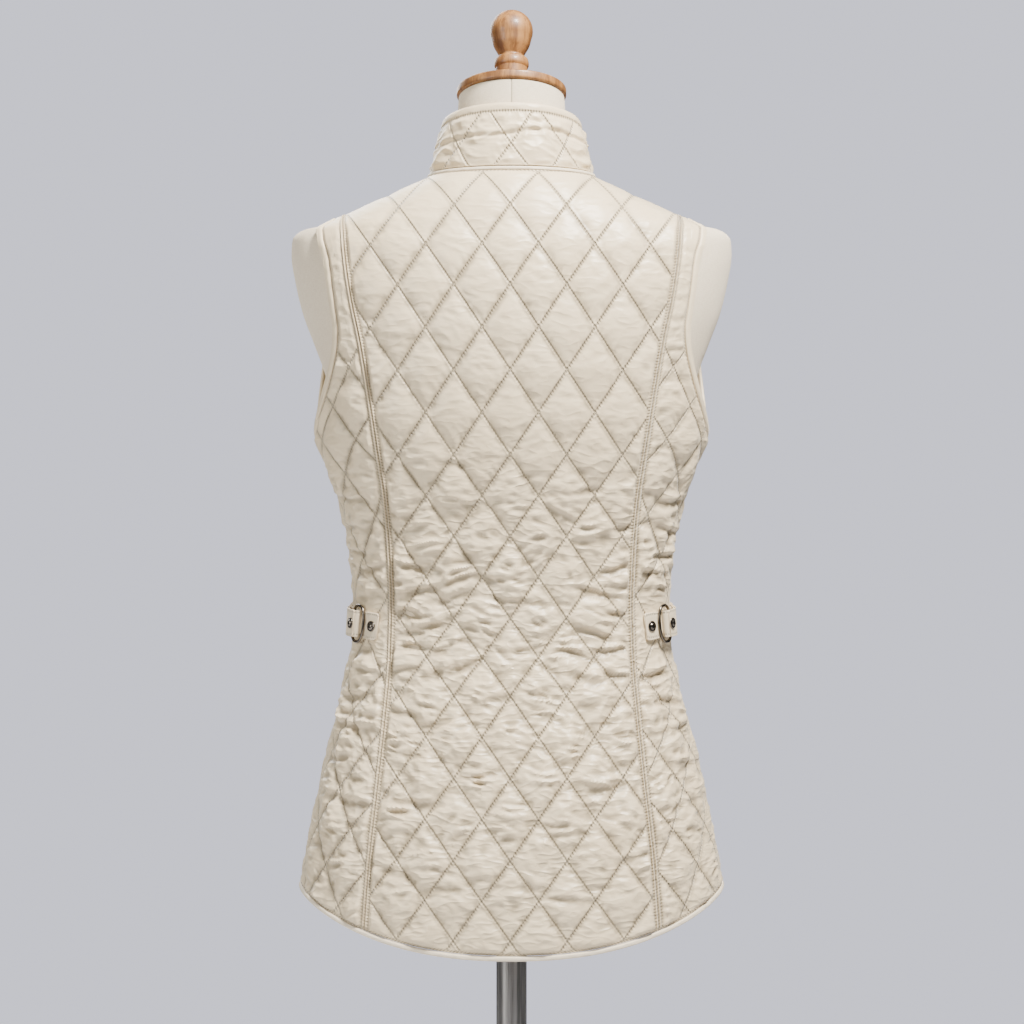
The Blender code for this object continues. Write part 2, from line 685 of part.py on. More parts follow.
def finish_object(obj, finish):
    """Gives an object its own material, shades it smooth and puts it in the vest's collection."""
    colour, roughness, metallic = finish
    material = bpy.data.materials.new(obj.name + "_finish")
    material.use_nodes = True
    shader = material.node_tree.nodes["Principled BSDF"]
    shader.inputs["Base Color"].default_value = (*colour, 1.0)
    shader.inputs["Roughness"].default_value = roughness
    shader.inputs["Metallic"].default_value = metallic
    obj.data.materials.clear()
    obj.data.materials.append(material)
    for collection in list(obj.users_collection):
        collection.objects.unlink(obj)
    VEST.objects.link(obj)
    if obj.type == "MESH":
        obj.data.shade_smooth()
        obj.data.set_sharp_from_angle(angle=SMOOTH_UNDER)
    return obj


def add_solid(name, corners, faces, finish):
    """An object from corners and faces, with its faces turned outwards."""
    mesh = bpy.data.meshes.new(name)
    mesh.from_pydata([tuple(corner) for corner in corners], [], faces)
    working = bmesh.new()
    working.from_mesh(mesh)
    bmesh.ops.recalc_face_normals(working, faces=working.faces)
    working.to_mesh(mesh)
    working.free()
    return finish_object(bpy.data.objects.new(name, mesh), finish)


def add_through_rings(name, rings, finish, closed=False):
    """A solid through rings of equally many points; an open run gets a face at each end."""
    count, size = rings.shape[:2]
    faces = []
    for i in range(count if closed else count - 1):
        after = (i + 1) % count
        for j in range(size):
            beside = (j + 1) % size
            faces.append((i * size + j, i * size + beside, after * size + beside, after * size + j))
    if not closed:
        faces.append(tuple(range(size)))
        faces.append(tuple(range((count - 1) * size, count * size)))
    return add_solid(name, rings.reshape(-1, 3), faces, finish)


def band_rings(middle, normals, width, thickness, closed=False):
    """Sections of a flat band with rounded edges along a line of points, flat on its normals."""
    if closed:
        along = np.roll(middle, -1, axis=0) - np.roll(middle, 1, axis=0)
    else:
        along = np.gradient(middle, axis=0)
    across = np.cross(along, normals)
    across /= np.linalg.norm(across, axis=1, keepdims=True)
    sections = []
    for wide, thick in ((-1, 0), (-0.7, -1), (0.7, -1), (1, 0), (0.7, 1), (-0.7, 1)):
        sections.append(middle + across * wide * width / 2 + normals * thick * thickness / 2)
    return np.stack(sections, axis=1)


def turned(name, profile, finish, matrix=None, steps=ROUND_STEPS):
    """A turned solid: (radius, height) points from the top of the axis, down the outside, to its foot."""
    mesh = bpy.data.meshes.new(name)
    points = [(radius, 0.0, height) for radius, height in profile]
    mesh.from_pydata(points, [(i, i + 1) for i in range(len(points) - 1)], [])
    obj = bpy.data.objects.new(name, mesh)
    screw = obj.modifiers.new("turn", "SCREW")
    screw.steps = steps
    screw.render_steps = steps
    screw.use_merge_vertices = True
    screw.merge_threshold = 0.00002
    screw.use_smooth_shade = True
    if matrix is not None:
        obj.matrix_world = matrix
    return finish_object(obj, finish)


def as_mesh(obj, name, finish):
    """The evaluated shape of an object as one welded mesh object in its place."""
    bpy.context.view_layer.update()
    evaluated = obj.evaluated_get(bpy.context.evaluated_depsgraph_get())
    mesh = bpy.data.meshes.new_from_object(evaluated)
    matrix = obj.matrix_world.copy()
    bpy.data.objects.remove(obj)
    working = bmesh.new()
    working.from_mesh(mesh)
    bmesh.ops.remove_doubles(working, verts=working.verts, dist=0.00001)
    bmesh.ops.recalc_face_normals(working, faces=working.faces)
    working.to_mesh(mesh)
    working.free()
    new = bpy.data.objects.new(name, mesh)
    new.matrix_world = matrix
    return finish_object(new, finish)


def add_wire(name, points, radius, finish, closed=False, sides=2):
    """A round wire along points."""
    curve = bpy.data.curves.new(name, "CURVE")
    curve.dimensions = "3D"
    spline = curve.splines.new("POLY")
    spline.points.add(len(points) - 1)
    for place, point in zip(spline.points, points):
        place.co = (*point, 1.0)
    spline.use_cyclic_u = closed
    curve.bevel_depth = radius
    curve.bevel_resolution = sides
    curve.use_fill_caps = not closed
    return finish_object(bpy.data.objects.new(name, curve), finish)


# ---------------------------------------------------------------- the vest's pieces

SHOULDER_DROPS = ((0.0010, 0.004), (0.0038, 0.006), (0.0085, 0.008))
INNER_SHOULDER_DROPS = ((0.0160, 0.009), (0.0260, 0.010))
ARMHOLE_START = 0.00004  # of a turn, from the shoulder line
ARMHOLE_END = 0.4990


def shoulder_top():
    """Height of the shoulder line's end at the neck piping."""
    return float(neck_edge(1.0, 1.0)(np.array([0.0]))[1][0])


def under_shoulder_line(drops):
    """Rows of (around, height) on the back under both shoulder lines, where the cloth turns over.

    Drops are distances below the line and how far short of the princess seam each row ends.
    """
    rows = []
    for drop, inset in drops:
        for x in np.linspace(NECK_HALF_WIDTH + 0.010, 0.156 - inset, 6):
            ridge = float(np.interp(x, VEST_RINGS[:18:-1, 1], VEST_RINGS[:18:-1, 0]))
            around = float(around_at(x, ridge - drop))
            rows.extend(((around, ridge - drop), (-around, ridge - drop)))
    return np.array(rows)


def body_pieces():
    """The back, the side backs and the fronts."""
    across = BodySurface(by_arc=False)
    arcs = BodySurface(by_arc=True)
    first_up = float(np.interp(CROSSING_Z, across.heights, across.lengths))
    neck_side = shoulder_top()

    foot, _ = princess_foot(-SEAM_SHIFT)
    top = princess_top(-SEAM_SHIFT)
    half = [
        princess_edge(-SEAM_SHIFT),
        line_edge(top, neck_side, SEAM_SHIFT),
        neck_edge(1.0 - NECK_CORNER, 0.0),
    ]
    edges = [level_edge(-foot, foot)] + half + mirrored(half)
    turns = under_shoulder_line(SHOULDER_DROPS)
    inner_turns = under_shoulder_line(SHOULDER_DROPS + INNER_SHOULDER_DROPS)
    quilted_wall("back_panel", across, edges, (0.0, first_up), turns=turns, inner_turns=inner_turns)

    arm_top = float(armhole_edge(0.0, 0.0)(np.array([0.0]))[1][0])
    arm_foot = float(armhole_edge(0.5, 0.5)(np.array([0.0]))[1][0])
    hem_side = HEM_SIDE_Z + HEM_ROOM
    foot, _ = princess_foot(SEAM_SHIFT)
    top = princess_top(SEAM_SHIFT)
    near_side = float(beside_side_line(hem_side, SEAM_SHIFT))

    def princess_down(share):
        return princess_edge(SEAM_SHIFT)(1 - share)
    princess_down.lift = SEAM_RIDGE
    side_edges = [
        level_edge(foot, near_side),
        line_edge(hem_side, arm_foot, SEAM_SHIFT),
        armhole_edge(ARMHOLE_END, ARMHOLE_START, side=1),
        line_edge(arm_top, top, SEAM_SHIFT),
        princess_down,
    ]
    front_side = float(beside_side_line(hem_side, -SEAM_SHIFT))
    front_foot = float(around_at(ZIP_HALF_GAP, HEM_FRONT_Z, front=True))
    neck_front = neck_edge(2.0 - NECK_FRONT_CORNER, 2.0 - NECK_FRONT_CORNER)
    front_top = float(neck_front(np.array([0.0]))[1][0])
    front_edges = [
        level_edge(front_side, front_foot),
        centre_front_edge(HEM_FRONT_Z + HEM_ROOM, front_top),
        neck_edge(2.0 - NECK_FRONT_CORNER, 1.0 + NECK_CORNER),
        line_edge(neck_side, arm_top, -SEAM_SHIFT),
        armhole_edge(-ARMHOLE_START, -ARMHOLE_END, side=-1),
        line_edge(arm_foot, hem_side, -SEAM_SHIFT),
    ]
    shift = (SIDE_PATTERN_SHIFT[0], first_up + SIDE_PATTERN_SHIFT[1])
    front = (0.0, first_up)
    for side, mirror in (("left", False), ("right", True)):
        quilted_wall("side_back_" + side, arcs, side_edges, shift, mirror=mirror)
        quilted_wall("front_" + side, arcs, front_edges, front, steps=FRONT_PUFF_STEPS, mirror=mirror)


def collar_piece():
    """The quilted stand collar, open at the zip."""
    surface = CollarSurface()
    low = (NECK_ROOM + CHORD_SAG) / surface.least_height
    end = 2.0 - COLLAR_END

    def run(start, stop, share_start, share_stop):
        def edge(share):
            return start + (stop - start) * share, share_start + (share_stop - share_start) * share
        return edge
    edges = [
        run(-end, end, low, low),
        run(end, end, low, 1.0),
        run(end, -end, 1.0, 1.0),
        run(-end, -end, 1.0, low),
    ]
    quilted_wall("collar", surface, edges, (0.0, COLLAR_CROSSING * surface.height))


def binding_pieces():
    """The armhole bindings, the hem binding and the neck piping."""
    surface = BodySurface(by_arc=False)
    rows = outline_of(surface, [armhole_edge(0.0, 1.0, away=BINDING_WIDTH / 2)])
    normals = surface.normals(rows[:, 0], rows[:, 1])
    middle = surface.points(rows[:, 0], rows[:, 1]) - normals * BINDING_DEPTH
    rings = band_rings(middle, normals, BINDING_WIDTH, BINDING_THICKNESS, closed=True)
    add_through_rings("armhole_binding_left", rings, CLOTH, closed=True)
    add_through_rings("armhole_binding_right", rings * (-1, 1, 1), CLOTH, closed=True)

    end = float(around_at(ZIP_HALF_GAP, HEM_FRONT_Z, front=True))
    around = np.linspace(-end, end, HEM_SECTIONS)
    height = hem_height(around) + HEM_BINDING_WIDTH / 2
    normals = surface.normals(around, height)
    middle = surface.points(around, height) - normals * WALL / 2
    rings = band_rings(middle, normals, HEM_BINDING_WIDTH, HEM_BINDING_THICKNESS)
    add_through_rings("hem_binding", rings, TRIM)

    around = np.linspace(-2.0 + NECK_FRONT_CORNER, 2.0 - NECK_FRONT_CORNER, NECK_SECTIONS)
    add_wire("neck_piping", neck_curve(around), PIPING_RADIUS, TRIM, sides=1)


def zip_pieces():
    """The closed zip's chain, its slider at the top of the collar, and the pull on its pin."""
    body_z = np.linspace(HEM_FRONT_Z, NECK_FRONT_Z, CHAIN_SECTIONS)
    body = ring_points(VEST_RINGS, np.full(CHAIN_SECTIONS, 2.0), body_z)
    top = collar_top(2.0)
    foot = neck_curve(2.0)
    collar = foot + (top - foot) * np.linspace(0.25, 1.0, 4)[:, None]
    line = np.concatenate((body, collar)) * (0, 1, 1)
    sideways = np.tile((1.0, 0.0, 0.0), (len(line), 1))
    normals = np.cross(sideways, np.gradient(line, axis=0))
    normals /= np.linalg.norm(normals, axis=1, keepdims=True)
    rings = band_rings(line - normals * CHAIN_DEPTH, normals, CHAIN_WIDTH, CHAIN_THICKNESS)
    add_through_rings("zip_chain", rings, TRIM)

    up = Vector(top - foot).normalized()
    out = Vector((1, 0, 0)).cross(up)
    chain_face = CHAIN_THICKNESS / 2 - CHAIN_DEPTH
    plate_middle = Vector(top) - up * SLIDER_BELOW_TOP + out * (chain_face + GAP + SLIDER_THICKNESS / 2)
    turn = Matrix((Vector((1, 0, 0)), up, out)).transposed().to_4x4()
    plate_face = plate_middle + out * (SLIDER_THICKNESS / 2)

    bpy.ops.mesh.primitive_cube_add(size=1)
    plate = bpy.context.object
    plate.matrix_world = Matrix.Translation(plate_middle) @ turn @ Matrix.Diagonal(
        (SLIDER_WIDTH, SLIDER_HEIGHT, SLIDER_THICKNESS, 1))
    arch = [(-BAIL_RADIUS, -BAIL_WIRE)]
    for turn_at in np.linspace(0, math.pi, 11):
        arch.append((-BAIL_RADIUS * math.cos(turn_at), BAIL_RISE + BAIL_RADIUS * math.sin(turn_at)))
    arch.append((BAIL_RADIUS, -BAIL_WIRE))
    route = [plate_face + up * along + out * rise for along, rise in arch]
    bail = as_mesh(add_wire("bail_wire", route, BAIL_WIRE / 2, NICKEL), "bail", NICKEL)
    join = plate.modifiers.new("bail", "BOOLEAN")
    join.operation = "UNION"
    join.object = bail
    as_mesh(plate, "zip_slider", NICKEL)
    bpy.data.objects.remove(bail)

    pin = bpy.data.objects.new("zip_pull_pin", None)
    pin.matrix_world = Matrix.Translation(plate_face + out * PULL_RISE) @ turn
    VEST.objects.link(pin)
    curve = bpy.data.curves.new("zip_pull", "CURVE")
    curve.dimensions = "2D"
    curve.fill_mode = "BOTH"
    curve.extrude = PULL_PIN / 2
    half = PULL_WIDTH / 2
    head = PULL_PIN * 0.55
    foot_y = head - PULL_LENGTH
    corner = half * 0.4
    outer = ((-half, head - corner), (corner - half, head), (half - corner, head), (half, head - corner),
             (half * 0.75, foot_y + corner), (half * 0.75 - corner, foot_y), (corner - half * 0.75, foot_y),
             (-half * 0.75, foot_y + corner))
    eye = PULL_EYE_WIDTH / 2
    hole = ((-eye, -PULL_PIN / 2), (eye, -PULL_PIN / 2), (eye, -PULL_PIN / 2 - PULL_EYE_LENGTH),
            (-eye, -PULL_PIN / 2 - PULL_EYE_LENGTH))
    for outline in (outer, hole):
        spline = curve.splines.new("POLY")
        spline.points.add(len(outline) - 1)
        for place, point in zip(spline.points, outline):
            place.co = (*point, 0.0, 1.0)
        spline.use_cyclic_u = True
    flat = bpy.data.objects.new("zip_pull_outline", curve)
    VEST.objects.link(flat)
    pull = as_mesh(flat, "zip_pull", NICKEL)
    pull.parent = pin


# ---------------------------------------------------------------- waist tabs

class TabLine:
    """The line that the left waist straps follow: s runs forward along the cloth from the ring's middle."""

    def __init__(self):
        self.surface = BodySurface(by_arc=True)
        self.start = float(np.interp(RING_AROUND, self.surface.turns, self.surface.arcs(TAB_Z)))

    def base(self, s):
        """The vest's surface points and normals at s."""
        s = np.atleast_1d(s)
        height = TAB_Z + TAB_SLOPE * s
        around, height = self.surface.at_arcs(self.start + s, height)
        return self.surface.points(around, height), self.surface.normals(around, height)

    def at(self, s, lift):
        """Points lifted off the vest's surface."""
        points, normals = self.base(s)
        return points + normals * np.atleast_1d(lift)[:, None]

    def width_way(self, s):
        """The unit direction of a strap's width, up along the cloth."""
        forward = self.at(np.atleast_1d(s) + 0.0005, 0.0) - self.at(np.atleast_1d(s) - 0.0005, 0.0)
        way = np.cross(self.base(s)[1], forward)
        return way / np.linalg.norm(way, axis=1, keepdims=True)


BAR_PLACE = (RING_WIDTH - RING_WIRE) / 2
BAR_HALF_HEIGHT = (RING_HEIGHT - RING_WIRE) / 2
LOOP_RADIUS = RING_WIRE / 2 + LOOP_CLEARANCE + TAB_THICKNESS / 2
LOWER_LIFT = TAB_LIFT + TAB_THICKNESS / 2
BAR_LIFT = LOWER_LIFT + LOOP_RADIUS
UPPER_LIFT = LOWER_LIFT + TAB_THICKNESS + LAYER_GAP


def bar_share(width):
    """How far the ring's bar lies from its middle at a distance up it, as a share of its most."""
    return (1 - np.abs(width / BAR_HALF_HEIGHT) ** RING_POWER) ** (1 / RING_POWER)


def strap_route(front):
    """Rows of a strap's (s, lift, share of its width) beyond the ring's bar, tail first.

    The strap lies under the bar, turns round it and comes back over itself down to its lower layer.
    """
    slant = math.atan2(BAR_LIFT + LOOP_RADIUS - UPPER_LIFT, OUTER_TAB_LENGTH)
    rows = [(s, LOWER_LIFT, 1.0) for s in (TAIL_LENGTH, TAIL_LENGTH / 2)]
    fold = -LOOP_SLACK if front else 0.0
    for turn in np.linspace(math.pi * 1.5, math.pi / 2 - (0 if front else slant), 7):
        rows.append((fold + LOOP_RADIUS * math.cos(turn), BAR_LIFT + LOOP_RADIUS * math.sin(turn), 1.0))
    if not front:
        for s, share in ((0.006, 1.0), (0.0115, 0.96), (0.0150, 0.80), (OUTER_TAB_LENGTH, 0.45)):
            rows.append((s, BAR_LIFT + LOOP_RADIUS - math.tan(slant) * s, share))
        return rows
    rows.append((0.0, BAR_LIFT + LOOP_RADIUS, 1.0))
    rows.append((OUTER_TAB_LENGTH / 2, (BAR_LIFT + LOOP_RADIUS + UPPER_LIFT) / 2, 1.0))
    rows.append((OUTER_TAB_LENGTH, UPPER_LIFT, 1.0))
    for s in np.arange(OUTER_TAB_LENGTH + 0.008, FRONT_TAB_LENGTH, 0.009):
        rows.append((s, LOWER_LIFT, 1.0))
    return rows


def strap_rings(line, front):
    """Sections of the front or back strap of the left side."""
    side = 1 if front else -1
    rows = np.array(strap_route(front))
    s = side * (BAR_PLACE + rows[:, 0])
    middle = line.at(s, rows[:, 1])
    ways = line.width_way(s)
    forward = line.at(s + 0.0005, 0.0) - line.at(s - 0.0005, 0.0)
    forward /= np.linalg.norm(forward, axis=1, keepdims=True)
    thick = np.cross(np.gradient(middle, axis=0), ways)
    thick /= np.linalg.norm(thick, axis=1, keepdims=True)
    fade = np.clip(1 - np.abs(rows[:, 0]) / 0.010, 0, 1) * (0 if front else 1)
    upper, lower = [], []
    for across in np.linspace(-1, 1, 5):
        width = across * TAB_HEIGHT / 2 * rows[:, 2]
        drawn_in = BAR_PLACE * (bar_share(width) - 1) * fade * side
        line_of_points = middle + ways * width[:, None] + forward * drawn_in[:, None]
        upper.append(line_of_points + thick * TAB_THICKNESS / 2)
        lower.append(line_of_points - thick * TAB_THICKNESS / 2)
    return np.stack(upper + lower[::-1], axis=1)


def snap_matrix(line, front):
    """Where the middle of a snap's underside lies on the outer layer, its axis out of the strap."""
    side = 1 if front else -1
    slant = (BAR_LIFT + LOOP_RADIUS - UPPER_LIFT) / OUTER_TAB_LENGTH
    place = SNAP_PLACES[front]
    places = np.array((place - 0.001, place, place + 0.001))
    points = line.at(side * (BAR_PLACE + places), BAR_LIFT + LOOP_RADIUS - slant * np.maximum(places, 0))
    way = Vector(line.width_way(side * (BAR_PLACE + place))[0])
    out = (Vector(points[2] - points[0]).cross(way) * -side).normalized()
    if out.dot(Vector(line.base(side * BAR_PLACE)[1][0])) < 0:
        out.negate()
    foot = Vector(points[1]) + out * (TAB_THICKNESS / 2 + GAP * 1.5)
    third = way.cross(out).normalized()
    return Matrix.Translation(foot) @ Matrix((third.cross(out), third, out)).transposed().to_4x4()


def tab_pieces():
    """Both sides' straps, oval rings and snaps."""
    line = TabLine()
    bars = line.at(np.array((-BAR_PLACE, BAR_PLACE)), np.full(2, BAR_LIFT))
    ring_middle = bars.mean(axis=0)
    across = (bars[1] - bars[0]) / 2
    up = line.width_way(0.0)[0] * BAR_HALF_HEIGHT
    turns = np.linspace(0, 2 * math.pi, 28, endpoint=False)
    power = 2 / RING_POWER
    wide = np.sign(np.cos(turns)) * np.abs(np.cos(turns)) ** power
    high = np.sign(np.sin(turns)) * np.abs(np.sin(turns)) ** power
    ring = ring_middle + wide[:, None] * across + high[:, None] * up
    dome = ((0.0, 1.0), (0.55, 0.92), (0.9, 0.6), (1.0, 0.25), (1.0, 0.0), (0.0, 0.0))
    snap = [(SNAP_RADIUS * wide, SNAP_HEIGHT * high) for wide, high in dome]
    mirror = Matrix.Diagonal((-1, 1, 1, 1))
    for side, sign in (("left", 1), ("right", -1)):
        flip = np.array((sign, 1, 1))
        add_wire("tab_ring_" + side, ring * flip, RING_WIRE / 2, NICKEL, closed=True, sides=1)
        for piece, front in (("front", True), ("back", False)):
            add_through_rings(f"tab_{piece}_{side}", strap_rings(line, front) * flip, STRAP)
            matrix = snap_matrix(line, front)
            if sign < 0:
                matrix = mirror @ matrix @ mirror
            turned(f"snap_{piece}_{side}", snap, NICKEL, matrix, steps=12)


# ---------------------------------------------------------------- the stand

def form_piece():
    """The linen-covered torso and neck, whose rings tilt forward up the neck."""
    heights = np.linspace(FORM_RINGS[0, 0], FORM_RINGS[-1, 0], 401)
    outline = np.stack((smooth(FORM_RINGS, 1, heights), heights), axis=-1)
    lengths = length_table(outline)
    levels = np.interp(np.linspace(0, lengths[-1], FORM_LEVELS), lengths, heights)
    around = np.linspace(0, 4, FORM_SEGMENTS, endpoint=False)
    around = np.where(around > 2, around - 4, around)
    rings = []
    for height in levels:
        ring = ring_points(FORM_RINGS, around, np.full(FORM_SEGMENTS, height))
        tilted = np.clip((height - NECK_TILT_FROM_Z) / NECK_TILT_OVER, 0, 1)
        ring[:, 2] += math.tan(math.radians(NECK_TILT)) * tilted * (ring[:, 1] - CAP_MIDDLE[1])
        rings.append(ring)
    add_through_rings("form_body", np.array(rings), LINEN)


def head_pieces():
    """The turned cap on the neck and the finial on it, both in line with the tilted neck."""
    matrix = Matrix.Translation(CAP_MIDDLE) @ Matrix.Rotation(math.radians(NECK_TILT), 4, "X")
    half = CAP_THICKNESS / 2
    # Columns: how far inside the rim, height over the cap's middle.
    cap = ((CAP_RADIUS, half), (0.006, half), (0.0015, half - 0.0012), (0.0, half - 0.0035),
           (0.0, 0.0035 - half), (0.0015, 0.001 - half), (0.004, -half), (CAP_RADIUS, -half))
    cap = [(CAP_RADIUS - inside, height) for inside, height in cap]
    turned("neck_cap", cap, WOOD, matrix)
    foot = half + GAP
    ball = []
    for turn in np.linspace(0, BALL_TURN, 11):
        ball.append((BALL_RADIUS * math.sin(turn), BALL_Z + BALL_RADIUS * math.cos(turn)))
    turned("finial", tuple(ball) + FINIAL_STEM + ((0.0144, foot), (0.0, foot)), WOOD, matrix)


def stand_pieces():
    """The steel pole up to the form and the round base, whose underside is the mount."""
    top = FORM_RINGS[0, 0] - GAP
    foot = BASE_HUB_HEIGHT + GAP
    turned("pole", ((0.0, top), (POLE_RADIUS, top), (POLE_RADIUS, foot), (0.0, foot)), STEEL)
    hub = BASE_HUB_RADIUS
    rim = BASE_RADIUS
    plate = BASE_THICKNESS
    base = ((0.0, BASE_HUB_HEIGHT), (hub - 0.003, BASE_HUB_HEIGHT), (hub, BASE_HUB_HEIGHT - 0.003),
            (hub, plate + 0.012), (hub + 0.008, plate + 0.004), (rim - 0.030, plate),
            (rim - 0.004, plate - 0.004), (rim, plate - 0.009), (rim, 0.002), (rim - 0.002, 0.0), (0.0, 0.0))
    turned("base", base, STEEL, steps=48)


def main():
    for obj in list(bpy.data.objects):
        bpy.data.objects.remove(obj, do_unlink=True)
    bpy.context.scene.collection.children.link(VEST)
    body_pieces()
    collar_piece()
    binding_pieces()
    zip_pieces()
    tab_pieces()
    form_piece()
    head_pieces()
    stand_pieces()


main()
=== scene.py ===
"""Looks of a diamond-quilted vest worn by a dress form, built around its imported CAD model."""

import logging
import math
from dataclasses import dataclass
from enum import Enum
from typing import Callable

import bpy
import numpy as np
from mathutils import Matrix, Vector


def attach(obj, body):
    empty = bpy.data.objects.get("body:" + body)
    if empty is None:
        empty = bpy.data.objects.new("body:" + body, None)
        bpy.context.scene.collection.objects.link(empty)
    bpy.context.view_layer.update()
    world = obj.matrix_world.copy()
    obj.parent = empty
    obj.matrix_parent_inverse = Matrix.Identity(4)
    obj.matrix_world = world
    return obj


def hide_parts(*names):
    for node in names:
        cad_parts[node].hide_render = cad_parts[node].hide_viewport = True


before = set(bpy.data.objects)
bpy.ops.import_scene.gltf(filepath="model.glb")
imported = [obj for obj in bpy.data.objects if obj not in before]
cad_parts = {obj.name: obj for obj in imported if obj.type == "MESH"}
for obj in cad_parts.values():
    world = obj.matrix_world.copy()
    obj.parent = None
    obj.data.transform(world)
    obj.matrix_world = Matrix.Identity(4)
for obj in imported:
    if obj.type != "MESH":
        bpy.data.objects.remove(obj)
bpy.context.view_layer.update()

Array = np.ndarray
Curve = Callable[[Array], Array]
Piece = bpy.types.Object
LOG = logging.getLogger("quilted_vest")
BODY = "vest_and_stand"
PULL_BODY = "pull"

# Columns of both tables: height, half width, depth at the back, depth at the front, y of the widest
# line, all in tenths of a millimetre, and hundredths of the power of the ring's rounded outline (2 is
# an ellipse, more is squarer).
RING_UNITS = (1e4, 1e4, 1e4, 1e4, 1e4, 100)
VEST_RINGS = np.array((
    (6900, 2085, 1305, 1200, 0, 230), (7400, 2025, 1290, 1190, 0, 230), (7900, 1930, 1250, 1170, 0, 230),
    (8300, 1855, 1195, 1160, 0, 230), (8700, 1765, 1120, 1130, 0, 228), (9100, 1670, 1040, 1100, 0, 226),
    (9500, 1570, 955, 1060, 0, 224), (9900, 1500, 885, 1020, 0, 222), (10300, 1485, 865, 1010, 0, 220),
    (10700, 1510, 885, 1060, 0, 218), (11100, 1585, 930, 1165, 0, 215), (11500, 1710, 995, 1290, 0, 212),
    (11800, 1830, 1045, 1360, 0, 208), (12100, 1900, 1080, 1390, 0, 204), (12500, 1990, 1115, 1330, 0, 200),
    (12900, 2075, 1125, 1180, 0, 200), (13300, 2140, 1095, 960, 10, 200), (13550, 2140, 1045, 800, 20, 200),
    (13720, 2050, 990, 690, 30, 200), (13846, 1710, 950, 620, 40, 200), (13970, 1400, 890, 560, 60, 200),
    (14115, 1070, 790, 500, 80, 200), (14265, 770, 650, 440, 100, 200), (14400, 620, 560, 400, 100, 200),
)) / RING_UNITS
FORM_RINGS = np.array((
    (8000, 1680, 1040, 980, 0, 220), (8600, 1580, 960, 970, 0, 220), (9100, 1470, 860, 930, 0, 218),
    (9600, 1350, 760, 880, 0, 216), (10000, 1305, 705, 840, 0, 214), (10350, 1300, 690, 830, 0, 212),
    (10700, 1330, 720, 890, 0, 210), (11100, 1420, 790, 1010, 0, 208), (11500, 1540, 880, 1140, 0, 205),
    (11800, 1620, 940, 1220, 0, 203), (12100, 1670, 980, 1250, 0, 200), (12400, 1745, 1015, 1210, 0, 200),
    (12700, 1855, 1030, 1110, 0, 200), (13000, 1965, 1030, 990, 0, 200), (13300, 2035, 990, 850, 10, 200),
    (13530, 2068, 930, 710, 20, 200), (13672, 2060, 890, 630, 30, 200), (13757, 1980, 870, 580, 30, 200),
    (13807, 1720, 850, 550, 40, 200), (13912, 1400, 800, 500, 60, 200), (14052, 1070, 710, 440, 80, 200),
    (14188, 780, 590, 400, 100, 200), (14330, 630, 520, 420, 100, 200), (14520, 550, 490, 450, 100, 200),
    (14740, 515, 490, 470, 100, 200), (14997, 495, 490, 490, 95, 200),
)) / RING_UNITS
# Columns: height, distance of the princess seam from the centre back, in tenths of a millimetre.
PRINCESS_SEAM = np.array((
    (6900, 1355), (7950, 1287), (8680, 1209), (9270, 1150), (9780, 1110), (10300, 1098),
    (10825, 1117), (11240, 1151), (11710, 1220), (12250, 1302), (12685, 1375), (13065, 1455),
    (13380, 1505), (13905, 1560),
)) / 1e4
# Columns: height of a stitch crossing on the side back, its arc from the side line, in the same.
SIDE_CROSSINGS = np.array((
    (7210, -790), (7904, -743), (8597, -680), (9290, -539), (9985, -480),
    (10716, -459), (11487, -513), (12100, -632), (12800, -700), (13500, -700),
)) / 1e4

# Arcs up the centre back, from the lowest crossing, of the back's rows of stitch crossings.
ROW_ARCS = (-0.0745, 0.0, 0.0707, 0.1441, 0.2188, 0.2895, 0.3642, 0.4389, 0.5158, 0.5930, 0.6680, 0.7420)
PATTERN_X = 0.0012

# Vest sizes
GAP = 0.0003
WALL = 0.0020
DIAMOND_WIDTH = 0.0510
DIAMOND_HEIGHT = 0.0747
CROSSING_Z = 0.7297
NECK_HALF_WIDTH = 0.0770
NECK_BACK_Z = 1.4265
NECK_FRONT_Z = 1.3650
SHOULDER_TIP_Z = 1.3846
UNDERARM_Z = 1.1870
ARMHOLE_MIDDLE_Z = 1.2850
ARMHOLE_BACK_Y = 0.0680
ARMHOLE_FRONT_Y = -0.0600
ARMHOLE_LOWER_POWER = 1.65
ARMHOLE_UPPER_POWER = 3.0
HEM_BACK_Z = 0.7123
HEM_SIDE_Z = 0.7626
HEM_FRONT_Z = 0.7350
BINDING_WIDTH = 0.0064
BINDING_THICKNESS = 0.0036
HEM_BINDING_WIDTH = 0.0046
PIPING_RADIUS = 0.0017
COLLAR_HALF_WIDTH = 0.0640
COLLAR_BACK_Y = 0.0680
COLLAR_FRONT_Y = -0.0500
COLLAR_MIDDLE_Y = 0.0110
COLLAR_SIDE_Z = 1.4764
COLLAR_BACK_RISE = 0.0105
COLLAR_FRONT_DROP = 0.0460
ZIP_HALF_GAP = 0.0036
NECK_FRONT_CORNER = 0.0300
COLLAR_END = 0.0360
FAR_MM = 99.0

# Dress form sizes
NECK_SEAM_FROM_Z = 1.43
NECK_TILT_FROM_Z = 1.433
NECK_TILT_OVER = 0.0662
NECK_TILT = math.radians(12.0)
CAP_MIDDLE = (0.0, 0.0095, 1.5052)


# ---- numbers

